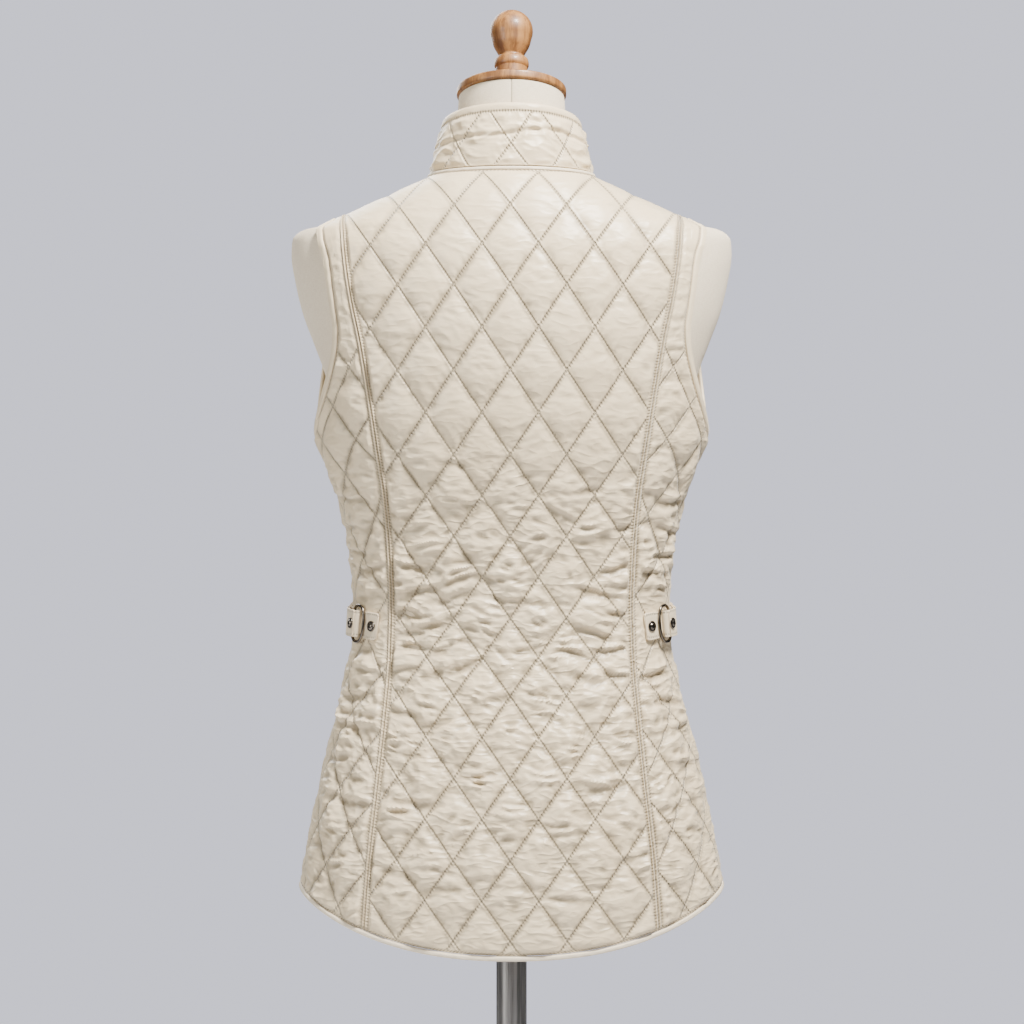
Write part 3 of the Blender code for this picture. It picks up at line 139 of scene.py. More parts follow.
def smooth(rows: Array, column: int, height: Array) -> Array:
    """Reads a column of a table at heights, on cubics between its rows that never overshoot them.

    Each row's slope is the harmonic mean of the slopes beside it, or zero at a turning point.

    Args:
        rows: table with heights in its first column.
        column: the column to read.
        height: heights to read it at.

    Returns:
        The values, in the shape of height.
    """
    heights, values = rows[:, 0], rows[:, column]
    spans = np.diff(heights)
    between = np.diff(values) / spans
    before, after = between[:-1], between[1:]
    slopes = np.zeros_like(values)
    slopes[0], slopes[-1] = between[0], between[-1]
    same_way = before * after > 0
    slopes[1:-1][same_way] = 2 * before[same_way] * after[same_way] / (before + after)[same_way]
    at = np.clip(np.searchsorted(heights, height) - 1, 0, len(heights) - 2)
    share = (height - heights[at]) / spans[at]
    rest = 1 - share
    ends = values[at] * rest**2 * (1 + 2 * share) + values[at + 1] * share**2 * (1 + 2 * rest)
    return ends + spans[at] * share * rest * (slopes[at] * rest - slopes[at + 1] * share)


def eased(low: float, high: float, value: Array) -> Array:
    """Runs smoothly from 0 at low to 1 at high: share squared times (3 - 2 share)."""
    share = np.clip((value - low) / (high - low), 0, 1)
    return share * share * (3 - 2 * share)


def lengths_along(line: Array) -> Array:
    """Arc lengths from the first point of a polyline to each of its points, down the first axis."""
    steps = np.linalg.norm(np.diff(line, axis=0), axis=-1)
    return np.concatenate((np.zeros((1, *steps.shape[1:])), np.cumsum(steps, axis=0)))


def steps_along(line: Array, closed: bool) -> Array:
    """Steps between the neighbours of each point of a line, which may return to its start."""
    if closed:
        return np.roll(line, -1, axis=0) - np.roll(line, 1, axis=0)
    return np.gradient(line, axis=0)


def unit(vectors: Array) -> Array:
    """The vectors scaled to length one."""
    return vectors / np.maximum(np.linalg.norm(vectors, axis=-1, keepdims=True), 1e-12)


def full_turn(steps: int) -> Array:
    """Angles evenly round a circle, without the last one."""
    return np.linspace(0, 2 * math.pi, steps, endpoint=False)


def squared_off(turn: Array, power: float, power_up: float | None = None) -> tuple:
    """Cosine and sine of angles, each raised to a power with its sign kept: a rounded-off square."""
    side, up = np.cos(turn), np.sin(turn)
    return (np.sign(side) * np.abs(side) ** power,
            np.sign(up) * np.abs(up) ** (power if power_up is None else power_up))


def bump(offset: Array, width: float) -> Array:
    """A bell of height 1 over an offset: e to the minus square of offset over width."""
    return np.exp(-((offset / width) ** 2))


def grid_places(along: Array, across: Array) -> Array:
    """A pattern place (along, across) for each point of a grid, one row each."""
    return np.stack(np.broadcast_arrays(along[:, None], across[None]), axis=-1).reshape(-1, 2)


class SoftNoise:
    """Smooth random values over a plane: corners of unit cells blended by smooth steps."""

    SIZE = 256

    def __init__(self, seed: int) -> None:
        """Fills the repeating table of corner values, from -1 to 1."""
        self.table = np.random.default_rng(seed).random((self.SIZE, self.SIZE)) * 2 - 1

    def at(self, x: Array, y: Array) -> Array:
        """Values at plane coordinates in cells."""
        column, row = np.floor(x).astype(int), np.floor(y).astype(int)
        across, up = x - column, y - row
        across, up = across * across * (3 - 2 * across), up * up * (3 - 2 * up)
        column, row = column % self.SIZE, row % self.SIZE
        after, above = (column + 1) % self.SIZE, (row + 1) % self.SIZE
        low = self.table[row, column] * (1 - across) + self.table[row, after] * across
        high = self.table[above, column] * (1 - across) + self.table[above, after] * across
        return low * (1 - up) + high * up


# ---- the vest's surface

def ring_points(rows: Array, around: Array, height: Array) -> Array:
    """Points on the rings: around is 0 at the centre back, 1 at the side and 2 at the centre front.

    A ring is a squared-off ellipse: x is the half width times sin to the power 2/p, y is the widest
    line's y plus the back or front depth times cos to the power 2/p.
    """
    around, height = np.broadcast_arrays(np.asarray(around, float), np.asarray(height, float))
    half, back, front, widest, power = (smooth(rows, column, height) for column in range(1, 6))
    turn = around * math.pi / 2
    along, depth = np.sin(turn), np.cos(turn)
    x = half * np.sign(along) * np.abs(along) ** (2 / power)
    y = widest + np.where(depth >= 0, back, front) * np.sign(depth) * np.abs(depth) ** (2 / power)
    return np.stack((x, y, height), axis=-1)


def ring_normals(rows: Array, around: Array, height: Array) -> Array:
    """Outward unit normals: the cross product of small steps up and around the surface."""
    ahead = ring_points(rows, around + 0.002, height) - ring_points(rows, around - 0.002, height)
    above = ring_points(rows, around, height + 0.0004) - ring_points(rows, around, height - 0.0004)
    return unit(np.cross(above, ahead))


def on_vest(around: Array, height: Array) -> tuple:
    """Points and outward normals of the vest's surface."""
    return ring_points(VEST_RINGS, around, height), ring_normals(VEST_RINGS, around, height)


def around_of(points: Array) -> Array:
    """Where points near the vest lie around it, from their x and y on the ring at their height."""
    half, back, front, widest, power = (smooth(VEST_RINGS, column, points[..., 2]) for column in range(1, 6))
    depth = points[..., 1] - widest
    along = (np.abs(points[..., 0]) / half) ** (power / 2)
    reach = (np.abs(depth) / np.where(depth >= 0, back, front)) ** (power / 2)
    return np.arctan2(along, np.sign(depth) * reach) * 2 / math.pi


def around_at(x: Array, height: Array, front: bool = False) -> Array:
    """Where a point of the vest's back or front lies around it, from its x."""
    half, power = smooth(VEST_RINGS, 1, height), smooth(VEST_RINGS, 5, height)
    turn = np.arcsin(np.clip((np.abs(x) / half) ** (power / 2), 0, 1)) * 2 / math.pi
    return np.sign(x) * (2 - turn if front else turn)


def beside_side_line(height: Array, shift: float) -> Array:
    """Around, at a small distance behind the widest line, or before it where the shift is negative."""
    depth = smooth(VEST_RINGS, 2 if shift > 0 else 3, height)
    return 1 - np.sign(shift) * (abs(shift) / depth) ** (smooth(VEST_RINGS, 5, height) / 2) * 2 / math.pi


def hem_height(around: Array) -> Array:
    """The shirt-tail hem's lower edge: a squared sine, low at the centres and high at the sides."""
    low = np.where(np.abs(around) <= 1, HEM_BACK_Z, HEM_FRONT_Z)
    return low + (HEM_SIDE_Z - low) * np.sin(np.abs(around) * math.pi / 2) ** 2


def armhole_curve(turns: Array) -> Array:
    """The armhole on the vest: 0 is the shoulder, 0.25 the back, 0.5 the underarm.

    Seen from the side it is an oval whose upper half is squarer than its lower half.
    """
    turn = np.asarray(turns, float) * 2 * math.pi
    up, out = np.cos(turn), np.sin(turn)
    power = np.where(up >= 0, ARMHOLE_UPPER_POWER, ARMHOLE_LOWER_POWER)
    tall = np.where(up >= 0, SHOULDER_TIP_Z - ARMHOLE_MIDDLE_Z, ARMHOLE_MIDDLE_Z - UNDERARM_Z)
    height = ARMHOLE_MIDDLE_Z + tall * np.sign(up) * np.abs(up) ** (2 / power)
    reach = np.where(out >= 0, ARMHOLE_BACK_Y, ARMHOLE_FRONT_Y) * np.abs(out) ** (2 / power)
    half, back, front, widest, square = (smooth(VEST_RINGS, column, height) for column in range(1, 6))
    depth = np.abs(reach) / np.where(out >= 0, back, front)
    x = half * np.clip(1 - depth**square, 0, 1) ** (1 / square)
    return np.stack((x, widest + reach, height), axis=-1)


def neck_curve(around: Array) -> Array:
    """The seam between body and collar: a half width times sin, at a height that drops to the front."""
    turn = np.asarray(around, float) * math.pi / 2
    forward = np.clip(-np.cos(turn), 0, 1) ** 1.2
    height = NECK_BACK_Z + (NECK_FRONT_Z - NECK_BACK_Z) * forward
    x = NECK_HALF_WIDTH * np.sin(turn)
    half, back, front, widest, power = (smooth(VEST_RINGS, column, height) for column in range(1, 6))
    inside = np.clip(1 - (np.abs(x) / half) ** power, 0, 1) ** (1 / power)
    return np.stack((x, widest + np.where(np.cos(turn) >= 0, back, -front) * inside, height), axis=-1)


def collar_top(around: Array) -> Array:
    """The collar's top edge: an ellipse that tilts down towards the front."""
    turn = np.asarray(around, float) * math.pi / 2
    depth = np.cos(turn)
    reach = np.where(depth >= 0, COLLAR_BACK_Y - COLLAR_MIDDLE_Y, COLLAR_MIDDLE_Y - COLLAR_FRONT_Y)
    lift = np.where(depth >= 0, COLLAR_BACK_RISE, COLLAR_FRONT_DROP)
    x = COLLAR_HALF_WIDTH * np.sin(turn)
    return np.stack((x, COLLAR_MIDDLE_Y + reach * depth, COLLAR_SIDE_Z + lift * depth), axis=-1)


def moved_aside(curve: Curve, places: Array, away: float, middle: tuple) -> tuple:
    """Points of a curve moved along the vest's surface, away from a middle point.

    Args:
        curve: gives points on the surface for places.
        places: where to read it.
        away: how far the points move.
        middle: a point inside the curve.

    Returns:
        Around and height of the moved points.
    """
    points = curve(places)
    along = curve(places + 0.002) - curve(places - 0.002)
    side = np.where(points[:, 0] < 0, -1, 1)
    outward = unit(np.cross(along, ring_normals(VEST_RINGS, around_of(points) * side, points[:, 2])))
    outward *= np.where(np.sum((points - np.array(middle)) * outward, axis=1) < 0, -1, 1)[:, None]
    moved = points + outward * away
    return around_of(moved) * np.where(moved[:, 0] < 0, -1, 1), moved[:, 2]


class ClothMap:
    """Measures the vest's cloth: arcs around it from the side line and up it from the lowest ring."""

    def __init__(self) -> None:
        """Fills tables of arc lengths over a grid of heights and turns."""
        self.heights = np.linspace(VEST_RINGS[0, 0], VEST_RINGS[-1, 0], 301)
        self.ups = lengths_along(ring_points(VEST_RINGS, np.zeros(301), self.heights))
        self.turns = np.linspace(0, 2, 241)
        grid = ring_points(VEST_RINGS, self.turns[:, None], self.heights[None, :])
        arcs = lengths_along(grid)
        self.arcs = arcs - arcs[120]

    def up(self, height: Array) -> Array:
        """Arc up the centre back at heights."""
        return np.interp(height, self.heights, self.ups)

    def column(self, height: Array) -> Array:
        """Places of heights among the table's columns."""
        return np.clip((height - self.heights[0]) / (self.heights[1] - self.heights[0]), 0, 299.999)

    def across(self, around: Array, height: Array) -> Array:
        """Arc forward from the side line, between the four nearest table places."""
        row = np.clip(np.abs(around) / 2 * 240, 0, 239.999)
        column = self.column(height)
        i, j = row.astype(int), column.astype(int)
        a, b = row - i, column - j
        low = self.arcs[i, j] * (1 - b) + self.arcs[i, j + 1] * b
        high = self.arcs[i + 1, j] * (1 - b) + self.arcs[i + 1, j + 1] * b
        return low * (1 - a) + high * a

    def around(self, across: Array, height: Array) -> Array:
        """Around at arcs from the side line, one for each height."""
        column = self.column(height)
        j = column.astype(int)
        b = column - j
        return np.array([np.interp(arc, self.arcs[:, k] * (1 - c) + self.arcs[:, k + 1] * c, self.turns)
                         for arc, k, c in zip(across, j, b)])


CLOTH_MAP = ClothMap()


# ---- meshes

@dataclass(frozen=True)
class Faces:
    """Quads and triangles of a mesh, as rows of vertex numbers."""

    quads: Array
    triangles: Array

    def flipped(self) -> "Faces":
        """The same faces turned the other way."""
        return Faces(self.quads[:, ::-1], self.triangles[:, ::-1])

    def volume(self, points: Array) -> float:
        """Signed volume: the sum over triangles of the box product of their corners, over six."""
        parts = np.concatenate((self.quads[:, (0, 1, 2)], self.quads[:, (0, 2, 3)], self.triangles))
        a, b, c = (points[parts[:, i]] for i in range(3))
        return float(np.sum(a * np.cross(b, c)) / 6)


NO_TRIANGLES = np.zeros((0, 3), int)


def add_piece(name: str, points: Array, faces: Faces, finish: "Finish", counts: Array | None = None,
              shares: dict | None = None, body: str = BODY) -> Piece:
    """Puts a closed surface into the scene in place of the CAD node of the same name.

    Args:
        name: the node's name.
        points: its vertices, one row each.
        faces: its faces, all turned the same way.
        finish: what it is dressed in.
        counts: a UV place for each vertex, where a pattern follows the surface.
        shares: further values for each vertex, by attribute name.
        body: the CAD body it rides on.

    Returns:
        The new object.
    """
    if faces.volume(points) < 0:
        faces = faces.flipped()
    corners = np.concatenate((faces.quads.ravel(), faces.triangles.ravel()))
    starts = np.concatenate((np.arange(len(faces.quads)) * 4,
                             len(faces.quads) * 4 + np.arange(len(faces.triangles)) * 3))
    mesh = bpy.data.meshes.new(name + "_look")
    mesh.vertices.add(len(points))
    mesh.vertices.foreach_set("co", np.ascontiguousarray(points, np.float32).ravel())
    mesh.loops.add(len(corners))
    mesh.loops.foreach_set("vertex_index", corners.astype(np.int32))
    mesh.polygons.add(len(starts))
    mesh.polygons.foreach_set("loop_start", starts.astype(np.int32))
    mesh.update(calc_edges=True)
    if counts is not None:
        layer = mesh.uv_layers.new(name="pattern")
        layer.data.foreach_set("uv", counts[corners].astype(np.float32).ravel())
    for label, values in (shares or {}).items():
        attribute = mesh.attributes.new(label, "FLOAT", "POINT")
        attribute.data.foreach_set("value", np.ascontiguousarray(values, np.float32).ravel())
    mesh.shade_smooth()
    mesh.set_sharp_from_angle(angle=math.radians(50))
    piece = bpy.data.objects.new(name + "_look", mesh)
    bpy.context.scene.collection.objects.link(piece)
    piece.data.materials.append(finish.material())
    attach(piece, body)
    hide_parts(name)
    LOG.info("%s: %d triangles", name, len(faces.quads) * 2 + len(faces.triangles))
    return piece


def grid_quads(rows: int, columns: int, first: int = 0) -> Array:
    """Quads of a grid of points numbered row by row."""
    return cells(first + np.arange(rows * columns).reshape(rows, columns))


def cells(numbers: Array) -> Array:
    """The quads between neighbouring numbers of a grid."""
    corners = numbers[:-1, :-1], numbers[:-1, 1:], numbers[1:, 1:], numbers[1:, :-1]
    return np.stack(corners, axis=-1).reshape(-1, 4)


def round_the_grid(numbers: Array) -> Array:
    """A grid's border numbers in one closed run: along its first row, up, back and down."""
    return np.concatenate((numbers[0, :-1], numbers[:-1, -1], numbers[-1, :0:-1], numbers[:0:-1, 0]))


def shell(outer: Array, inner: Array, stride: int) -> tuple:
    """A closed wall of a fine outer grid and a coarse inner one, joined by a rim of triangles.

    Each edge of the fine border goes to the nearest coarse border point, and each change of that
    point is filled by one triangle.

    Args:
        outer: fine grid of points, rows by columns by three.
        inner: the same grid moved inwards.
        stride: how many fine cells a coarse one spans.

    Returns:
        The points, the faces, and each point's number in the fine grid.
    """
    rows, columns = outer.shape[:2]
    kept_rows = np.unique(np.append(np.arange(0, rows, stride), rows - 1))
    kept_columns = np.unique(np.append(np.arange(0, columns, stride), columns - 1))
    fine = np.arange(rows * columns).reshape(rows, columns)
    kept = fine[np.ix_(kept_rows, kept_columns)]
    coarse = rows * columns + np.arange(kept.size).reshape(kept.shape)
    points = np.concatenate((outer.reshape(-1, 3), inner.reshape(-1, 3)[kept.ravel()]))

    border = round_the_grid(fine)
    inner_border = round_the_grid(coarse)
    where = np.searchsorted(border[np.argsort(border)], round_the_grid(kept))
    where = np.argsort(border)[where]
    middles = np.arange(len(border)) + 0.5
    gaps = (where[1:] + where[:-1]) / 2
    last_gap = (where[-1] + len(border)) / 2
    nearest = np.searchsorted(np.append(gaps, last_gap), middles) % len(where)
    own = inner_border[nearest]
    before = np.roll(own, 1)
    changed = own != before
    rim = np.concatenate((
        np.stack((np.roll(border, -1), border, own), axis=-1),
        np.stack((border, before, own), axis=-1)[changed],
    ))
    inner_quads = grid_quads(*kept.shape, first=rows * columns)[:, ::-1]
    faces = Faces(np.concatenate((grid_quads(rows, columns), inner_quads)), rim)
    return points, faces, np.concatenate((fine.ravel(), kept.ravel()))


def swept(sections: Array, closed: bool = False) -> tuple:
    """A closed surface through sections of equally many points, with a fan of triangles at open ends.

    Args:
        sections: points, sections by points of one by three.
        closed: whether the run returns to its first section.

    Returns:
        The points and the faces.
    """
    count, size = sections.shape[:2]
    numbers = np.arange(count * size).reshape(count, size)
    run = np.concatenate((numbers, numbers[:1])) if closed else numbers
    quads = cells(np.concatenate((run, run[:, :1]), axis=1))
    points = sections.reshape(-1, 3)
    if closed:
        return points, Faces(quads, NO_TRIANGLES)
    caps = np.stack((sections[0].mean(axis=0), sections[-1].mean(axis=0)))
    first, last = numbers[0], numbers[-1]
    triangles = np.concatenate((
        np.stack((np.roll(first, -1), first, np.full(size, count * size)), axis=-1),
        np.stack((last, np.roll(last, -1), np.full(size, count * size + 1)), axis=-1),
    ))
    return np.concatenate((points, caps)), Faces(quads, triangles)


def turned(profile: Array, steps: int = 96) -> tuple:
    """A surface of revolution about Z: each (radius, height) of the profile becomes a ring."""
    turn = full_turn(steps)
    radius, height = profile[:, :1], profile[:, 1:]
    return swept(np.stack((radius * np.cos(turn), radius * np.sin(turn), height + 0 * turn), axis=-1))


def rounded_profile(corners: tuple, steps: int = 6) -> Array:
    """A profile through corners with each one rounded by its own radius.

    A corner is cut where its arc starts and ends, and a quadratic curve joins the two cuts.

    Args:
        corners: rows of (radius from the axis, height, rounding).
        steps: points on each rounded corner.

    Returns:
        Rows of (radius, height).
    """
    rows = np.array(corners, float)
    made = [rows[:1, :2]]
    share = np.linspace(0, 1, steps)[:, None]
    for before, corner, after in zip(rows[:-2], rows[1:-1], rows[2:]):
        start = corner[:2] + unit(before[:2] - corner[:2]) * corner[2]
        stop = corner[:2] + unit(after[:2] - corner[:2]) * corner[2]
        made.append(start * (1 - share) ** 2 + corner[:2] * 2 * share * (1 - share) + stop * share**2)
    made.append(rows[-1:, :2])
    return np.concatenate(made)


def merged(parts: tuple) -> tuple:
    """Several closed surfaces as one piece's points and faces."""
    points = np.concatenate([part[0] for part in parts])
    starts = np.cumsum([0] + [len(part[0]) for part in parts[:-1]])
    quads = np.concatenate([part[1].quads + start for part, start in zip(parts, starts)])
    triangles = np.concatenate([part[1].triangles + start for part, start in zip(parts, starts)])
    return points, Faces(quads, triangles)


def moved(points: Array, matrix: Matrix) -> Array:
    """Points under a 4 by 4 matrix."""
    turn = np.array(matrix)
    return points @ turn[:3, :3].T + turn[:3, 3]


# ---- finishes

Socket = bpy.types.NodeSocket


class NodeSheet:
    """Adds nodes to a tree by short calls; each value may be a number or another node's output."""

    def __init__(self, tree: bpy.types.NodeTree) -> None:
        """Works on one material or group tree."""
        self.tree = tree

    def add(self, kind: str, **settings: object) -> bpy.types.Node:
        """A new node with settings."""
        node = self.tree.nodes.new(kind)
        for name, value in settings.items():
            setattr(node, name, value)
        return node

    def put(self, value: object, socket: Socket) -> None:
        """Links an output to a socket, or sets the socket's number."""
        if isinstance(value, bpy.types.NodeSocket):
            self.tree.links.new(value, socket)
        else:
            socket.default_value = value

    def math(self, operation: str, first: object, second: object = 0.0, third: object = 0.0) -> Socket:
        """One arithmetic step."""
        node = self.add("ShaderNodeMath", operation=operation)
        for value, socket in zip((first, second, third), node.inputs):
            self.put(value, socket)
        return node.outputs[0]

    def times(self, first: object, second: object) -> Socket:
        """Their product."""
        return self.math("MULTIPLY", first, second)

    def plus(self, first: object, second: object) -> Socket:
        """Their sum."""
        return self.math("ADD", first, second)

    def minus(self, first: object, second: object) -> Socket:
        """The first less the second."""
        return self.math("SUBTRACT", first, second)

    def scaled_onto(self, value: object, factor: object, base: object) -> Socket:
        """The value times the factor, added to the base."""
        return self.math("MULTIPLY_ADD", value, factor, base)

    def bell(self, distance: object, width: float) -> Socket:
        """A bell over a distance: e to the minus square of distance over width."""
        ratio = self.math("DIVIDE", distance, width)
        return self.math("EXPONENT", self.times(self.times(ratio, ratio), -1.0))

    def ramp(self, value: object, low: float, high: float, to_low: float = 0.0,
             to_high: float = 1.0) -> Socket:
        """A smooth step of a value between two limits."""
        node = self.add("ShaderNodeMapRange", interpolation_type="SMOOTHSTEP")
        for item, socket in zip((value, low, high, to_low, to_high), node.inputs):
            self.put(item, socket)
        return node.outputs["Result"]

    def noise(self, vector: object, scale: float, detail: float = 2.0, roughness: float = 0.5) -> Socket:
        """Noise at a place, from 0 to 1."""
        node = self.add("ShaderNodeTexNoise")
        self.put(vector, node.inputs["Vector"])
        for name, value in (("Scale", scale), ("Detail", detail), ("Roughness", roughness)):
            node.inputs[name].default_value = value
        return node.outputs["Fac"]

    def stretched(self, vector: object, scale: tuple) -> Socket:
        """A vector scaled along each axis."""
        node = self.add("ShaderNodeMapping")
        self.put(vector, node.inputs["Vector"])
        node.inputs["Scale"].default_value = scale
        return node.outputs["Vector"]

    def parts(self, vector: object) -> tuple:
        """A vector's x, y and z."""
        node = self.add("ShaderNodeSeparateXYZ")
        self.put(vector, node.inputs[0])
        return node.outputs[0], node.outputs[1], node.outputs[2]

    def joined(self, x: object, y: object, z: object = 0.0) -> Socket:
        """A vector from x, y and z."""
        node = self.add("ShaderNodeCombineXYZ")
        for value, socket in zip((x, y, z), node.inputs):
            self.put(value, socket)
        return node.outputs[0]

    def blended(self, share: object, first: object, second: object, way: str = "MIX") -> Socket:
        """Two colours blended by a share."""
        node = self.add("ShaderNodeMix", data_type="RGBA", blend_type=way)
        self.put(share, node.inputs["Factor"])
        for value, socket in ((first, node.inputs["A"]), (second, node.inputs["B"])):
            self.put((*value, 1.0) if isinstance(value, tuple) and len(value) == 3 else value,
                     [s for s in node.inputs if s.name == socket.name and s.type == "RGBA"][0])
        return [s for s in node.outputs if s.type == "RGBA"][0]

    def place(self) -> Socket:
        """Object coordinates."""
        return self.add("ShaderNodeTexCoord").outputs["Object"]

    def share(self, name: str) -> Socket:
        """A vertex attribute's value."""
        return self.add("ShaderNodeAttribute", attribute_name=name).outputs["Fac"]

    def relief(self, height: object, scale_mm: float = 1.0) -> Socket:
        """A normal bent by a height in millimetres."""
        node = self.add("ShaderNodeBump")
        node.inputs["Strength"].default_value = 1.0
        node.inputs["Distance"].default_value = 0.001 * scale_mm
        self.put(height, node.inputs["Height"])
        return node.outputs["Normal"]


def group(name: str, inputs: tuple, outputs: tuple,
          fill: Callable[[NodeSheet, object, object], None]) -> bpy.types.NodeTree:
    """A node group made once and used in every material that shares its effect.

    Args:
        name: the group's name.
        inputs: rows of (name, socket kind, default).
        outputs: rows of (name, socket kind).
        fill: adds the nodes between the group's input and output nodes.

    Returns:
        The node tree.
    """
    if name in bpy.data.node_groups:
        return bpy.data.node_groups[name]
    tree = bpy.data.node_groups.new(name, "ShaderNodeTree")
    for label, kind, default in inputs:
        socket = tree.interface.new_socket(label, in_out="INPUT", socket_type=kind)
        if default is not None:
            socket.default_value = default
    for label, kind in outputs:
        tree.interface.new_socket(label, in_out="OUTPUT", socket_type=kind)
    sheet = NodeSheet(tree)
    fill(sheet, sheet.add("NodeGroupInput").outputs, sheet.add("NodeGroupOutput").inputs)
    return tree


def placed(sheet: NodeSheet, tree: object, **values: object) -> object:
    """Puts a group into a material and sets its inputs by name, with spaces for underscores."""
    node = sheet.add("ShaderNodeGroup", node_tree=tree)
    for name, value in values.items():
        sheet.put(value, node.inputs[name.replace("_", " ")])
    return node.outputs


def fill_stitches(sheet: NodeSheet, given: object, wanted: object) -> None:
    """Stitches along a line: a thread in dashes that lies in a shallow groove.

    Depth is a bell across the line, deeper between the stitches; Thread is the dashes themselves.
    """
    across, along = given["Across"], given["Along"]
    phase = sheet.math("FRACT", sheet.math("DIVIDE", along, given["Length"]))
    middle = sheet.math("ABSOLUTE", sheet.minus(phase, 0.5))
    ends = sheet.ramp(middle, 0.20, 0.38)
    line = sheet.bell(across, 0.75)
    wide = sheet.bell(across, 0.9)
    sheet.put(sheet.times(line, sheet.minus(1.0, ends)), wanted["Thread"])
    sheet.put(sheet.times(sheet.bell(across, 1.15), ends), wanted["Hole"])
    sheet.put(wide, wanted["Groove"])
    sheet.put(sheet.minus(sheet.bell(across, 2.1), sheet.bell(across, 1.0)), wanted["Lip"])


def stitches(sheet: NodeSheet, across: object, along: object, length: float) -> object:
    """A line of stitches placed in a material; distances and the stitch's length are in millimetres."""
    kind = "NodeSocketFloat"
    tree = group("line_of_stitches", tuple((name, kind, 0.0) for name in ("Across", "Along", "Length")),
                 tuple((name, kind) for name in ("Thread", "Hole", "Groove", "Lip")), fill_stitches)
    return placed(sheet, tree, Across=across, Along=along, Length=length)


def fill_weave(sheet: NodeSheet, given: object, wanted: object) -> None:
    """Plain weave: the product of two sines across each other, with slubs from stretched noise."""
    x, y, _ = sheet.parts(given["Place"])
    turns = sheet.math("DIVIDE", 2 * math.pi, given["Pitch"])
    warp = sheet.math("SINE", sheet.times(x, turns))
    weft = sheet.math("SINE", sheet.times(y, turns))
    over = sheet.times(warp, weft)
    slubs = sheet.noise(sheet.stretched(given["Place"], (0.25, 2.2, 1.0)), 0.9, 3.0, 0.6)
    slubs_up = sheet.noise(sheet.stretched(given["Place"], (2.2, 0.25, 1.0)), 0.9, 3.0, 0.6)
    both = sheet.minus(sheet.plus(slubs, slubs_up), 1.0)
    sheet.put(sheet.plus(sheet.times(over, 0.5), both), wanted["Height"])
    sheet.put(both, wanted["Slubs"])


def woven(sheet: NodeSheet, place: object, pitch: float) -> object:
    """Woven cloth placed in a material; places and the pitch are in millimetres."""
    tree = group("plain_weave", (("Place", "NodeSocketVector", None), ("Pitch", "NodeSocketFloat", 0.5)),
                 (("Height", "NodeSocketFloat"), ("Slubs", "NodeSocketFloat")), fill_weave)
    return placed(sheet, tree, Place=place, Pitch=pitch)


def fill_wear(sheet: NodeSheet, given: object, wanted: object) -> None:
    """Soft cloudy variation at two scales, from -1 to 1."""
    large = sheet.noise(given["Place"], 9.0, 3.0)
    small = sheet.noise(given["Place"], 70.0, 3.0)
    both = sheet.plus(sheet.times(large, 1.2), sheet.times(small, 0.8))
    sheet.put(sheet.minus(both, 1.0), wanted["Cloud"])


def clouded(sheet: NodeSheet) -> Socket:
    """Uneven colour and gloss over a piece, placed in a material."""
    tree = group("uneven_finish", (("Place", "NodeSocketVector", None),), (("Cloud", "NodeSocketFloat"),),
                 fill_wear)
    return placed(sheet, tree, Place=sheet.place())["Cloud"]


@dataclass(frozen=True)
class Finish:
    """A finish: its record slot, colour and gloss, and the node work that makes its surface."""

    slot: str
    name: str
    colour: tuple
    dark: tuple
    roughness: float = 0.5
    metallic: float = 0.0
    sheen: float = 0.0
    coat: float = 0.0
    specular: float = 0.5

    def material(self) -> bpy.types.Material:
        """The finish's material, made once."""
        if self.name in bpy.data.materials:
            return bpy.data.materials[self.name]
        material = bpy.data.materials.new(self.name)
        material.use_nodes = True
        sheet = NodeSheet(material.node_tree)
        shader = material.node_tree.nodes["Principled BSDF"]
        for name, value in {"Metallic": self.metallic, "Sheen Weight": self.sheen, "Sheen Roughness": 0.4,
                            "Coat Weight": self.coat, "Coat Roughness": 0.15,
                            "Specular IOR Level": self.specular}.items():
            shader.inputs[name].default_value = value
        colour, roughness, normal = self.surface(sheet)
        sheet.put(colour, shader.inputs["Base Color"])
        sheet.put(roughness, shader.inputs["Roughness"])
        sheet.put(normal, shader.inputs["Normal"])
        return material

    def dark_part(self, share: float) -> tuple:
        """The dark colour, darkened further to a share of itself."""
        return tuple(part * share for part in self.dark)

    def surface(self, sheet: NodeSheet) -> tuple:
        """Base colour, roughness and normal of a plain, slightly uneven finish."""
        cloud = clouded(sheet)
        colour = sheet.blended(sheet.ramp(cloud, -0.6, 0.6), self.dark, self.colour)
        roughness = sheet.scaled_onto(cloud, 0.12, self.roughness)
        return colour, roughness, sheet.relief(cloud, 0.02)


SIDE_STEP_MM = 45.2
ROW_GAP_MM = 42.1


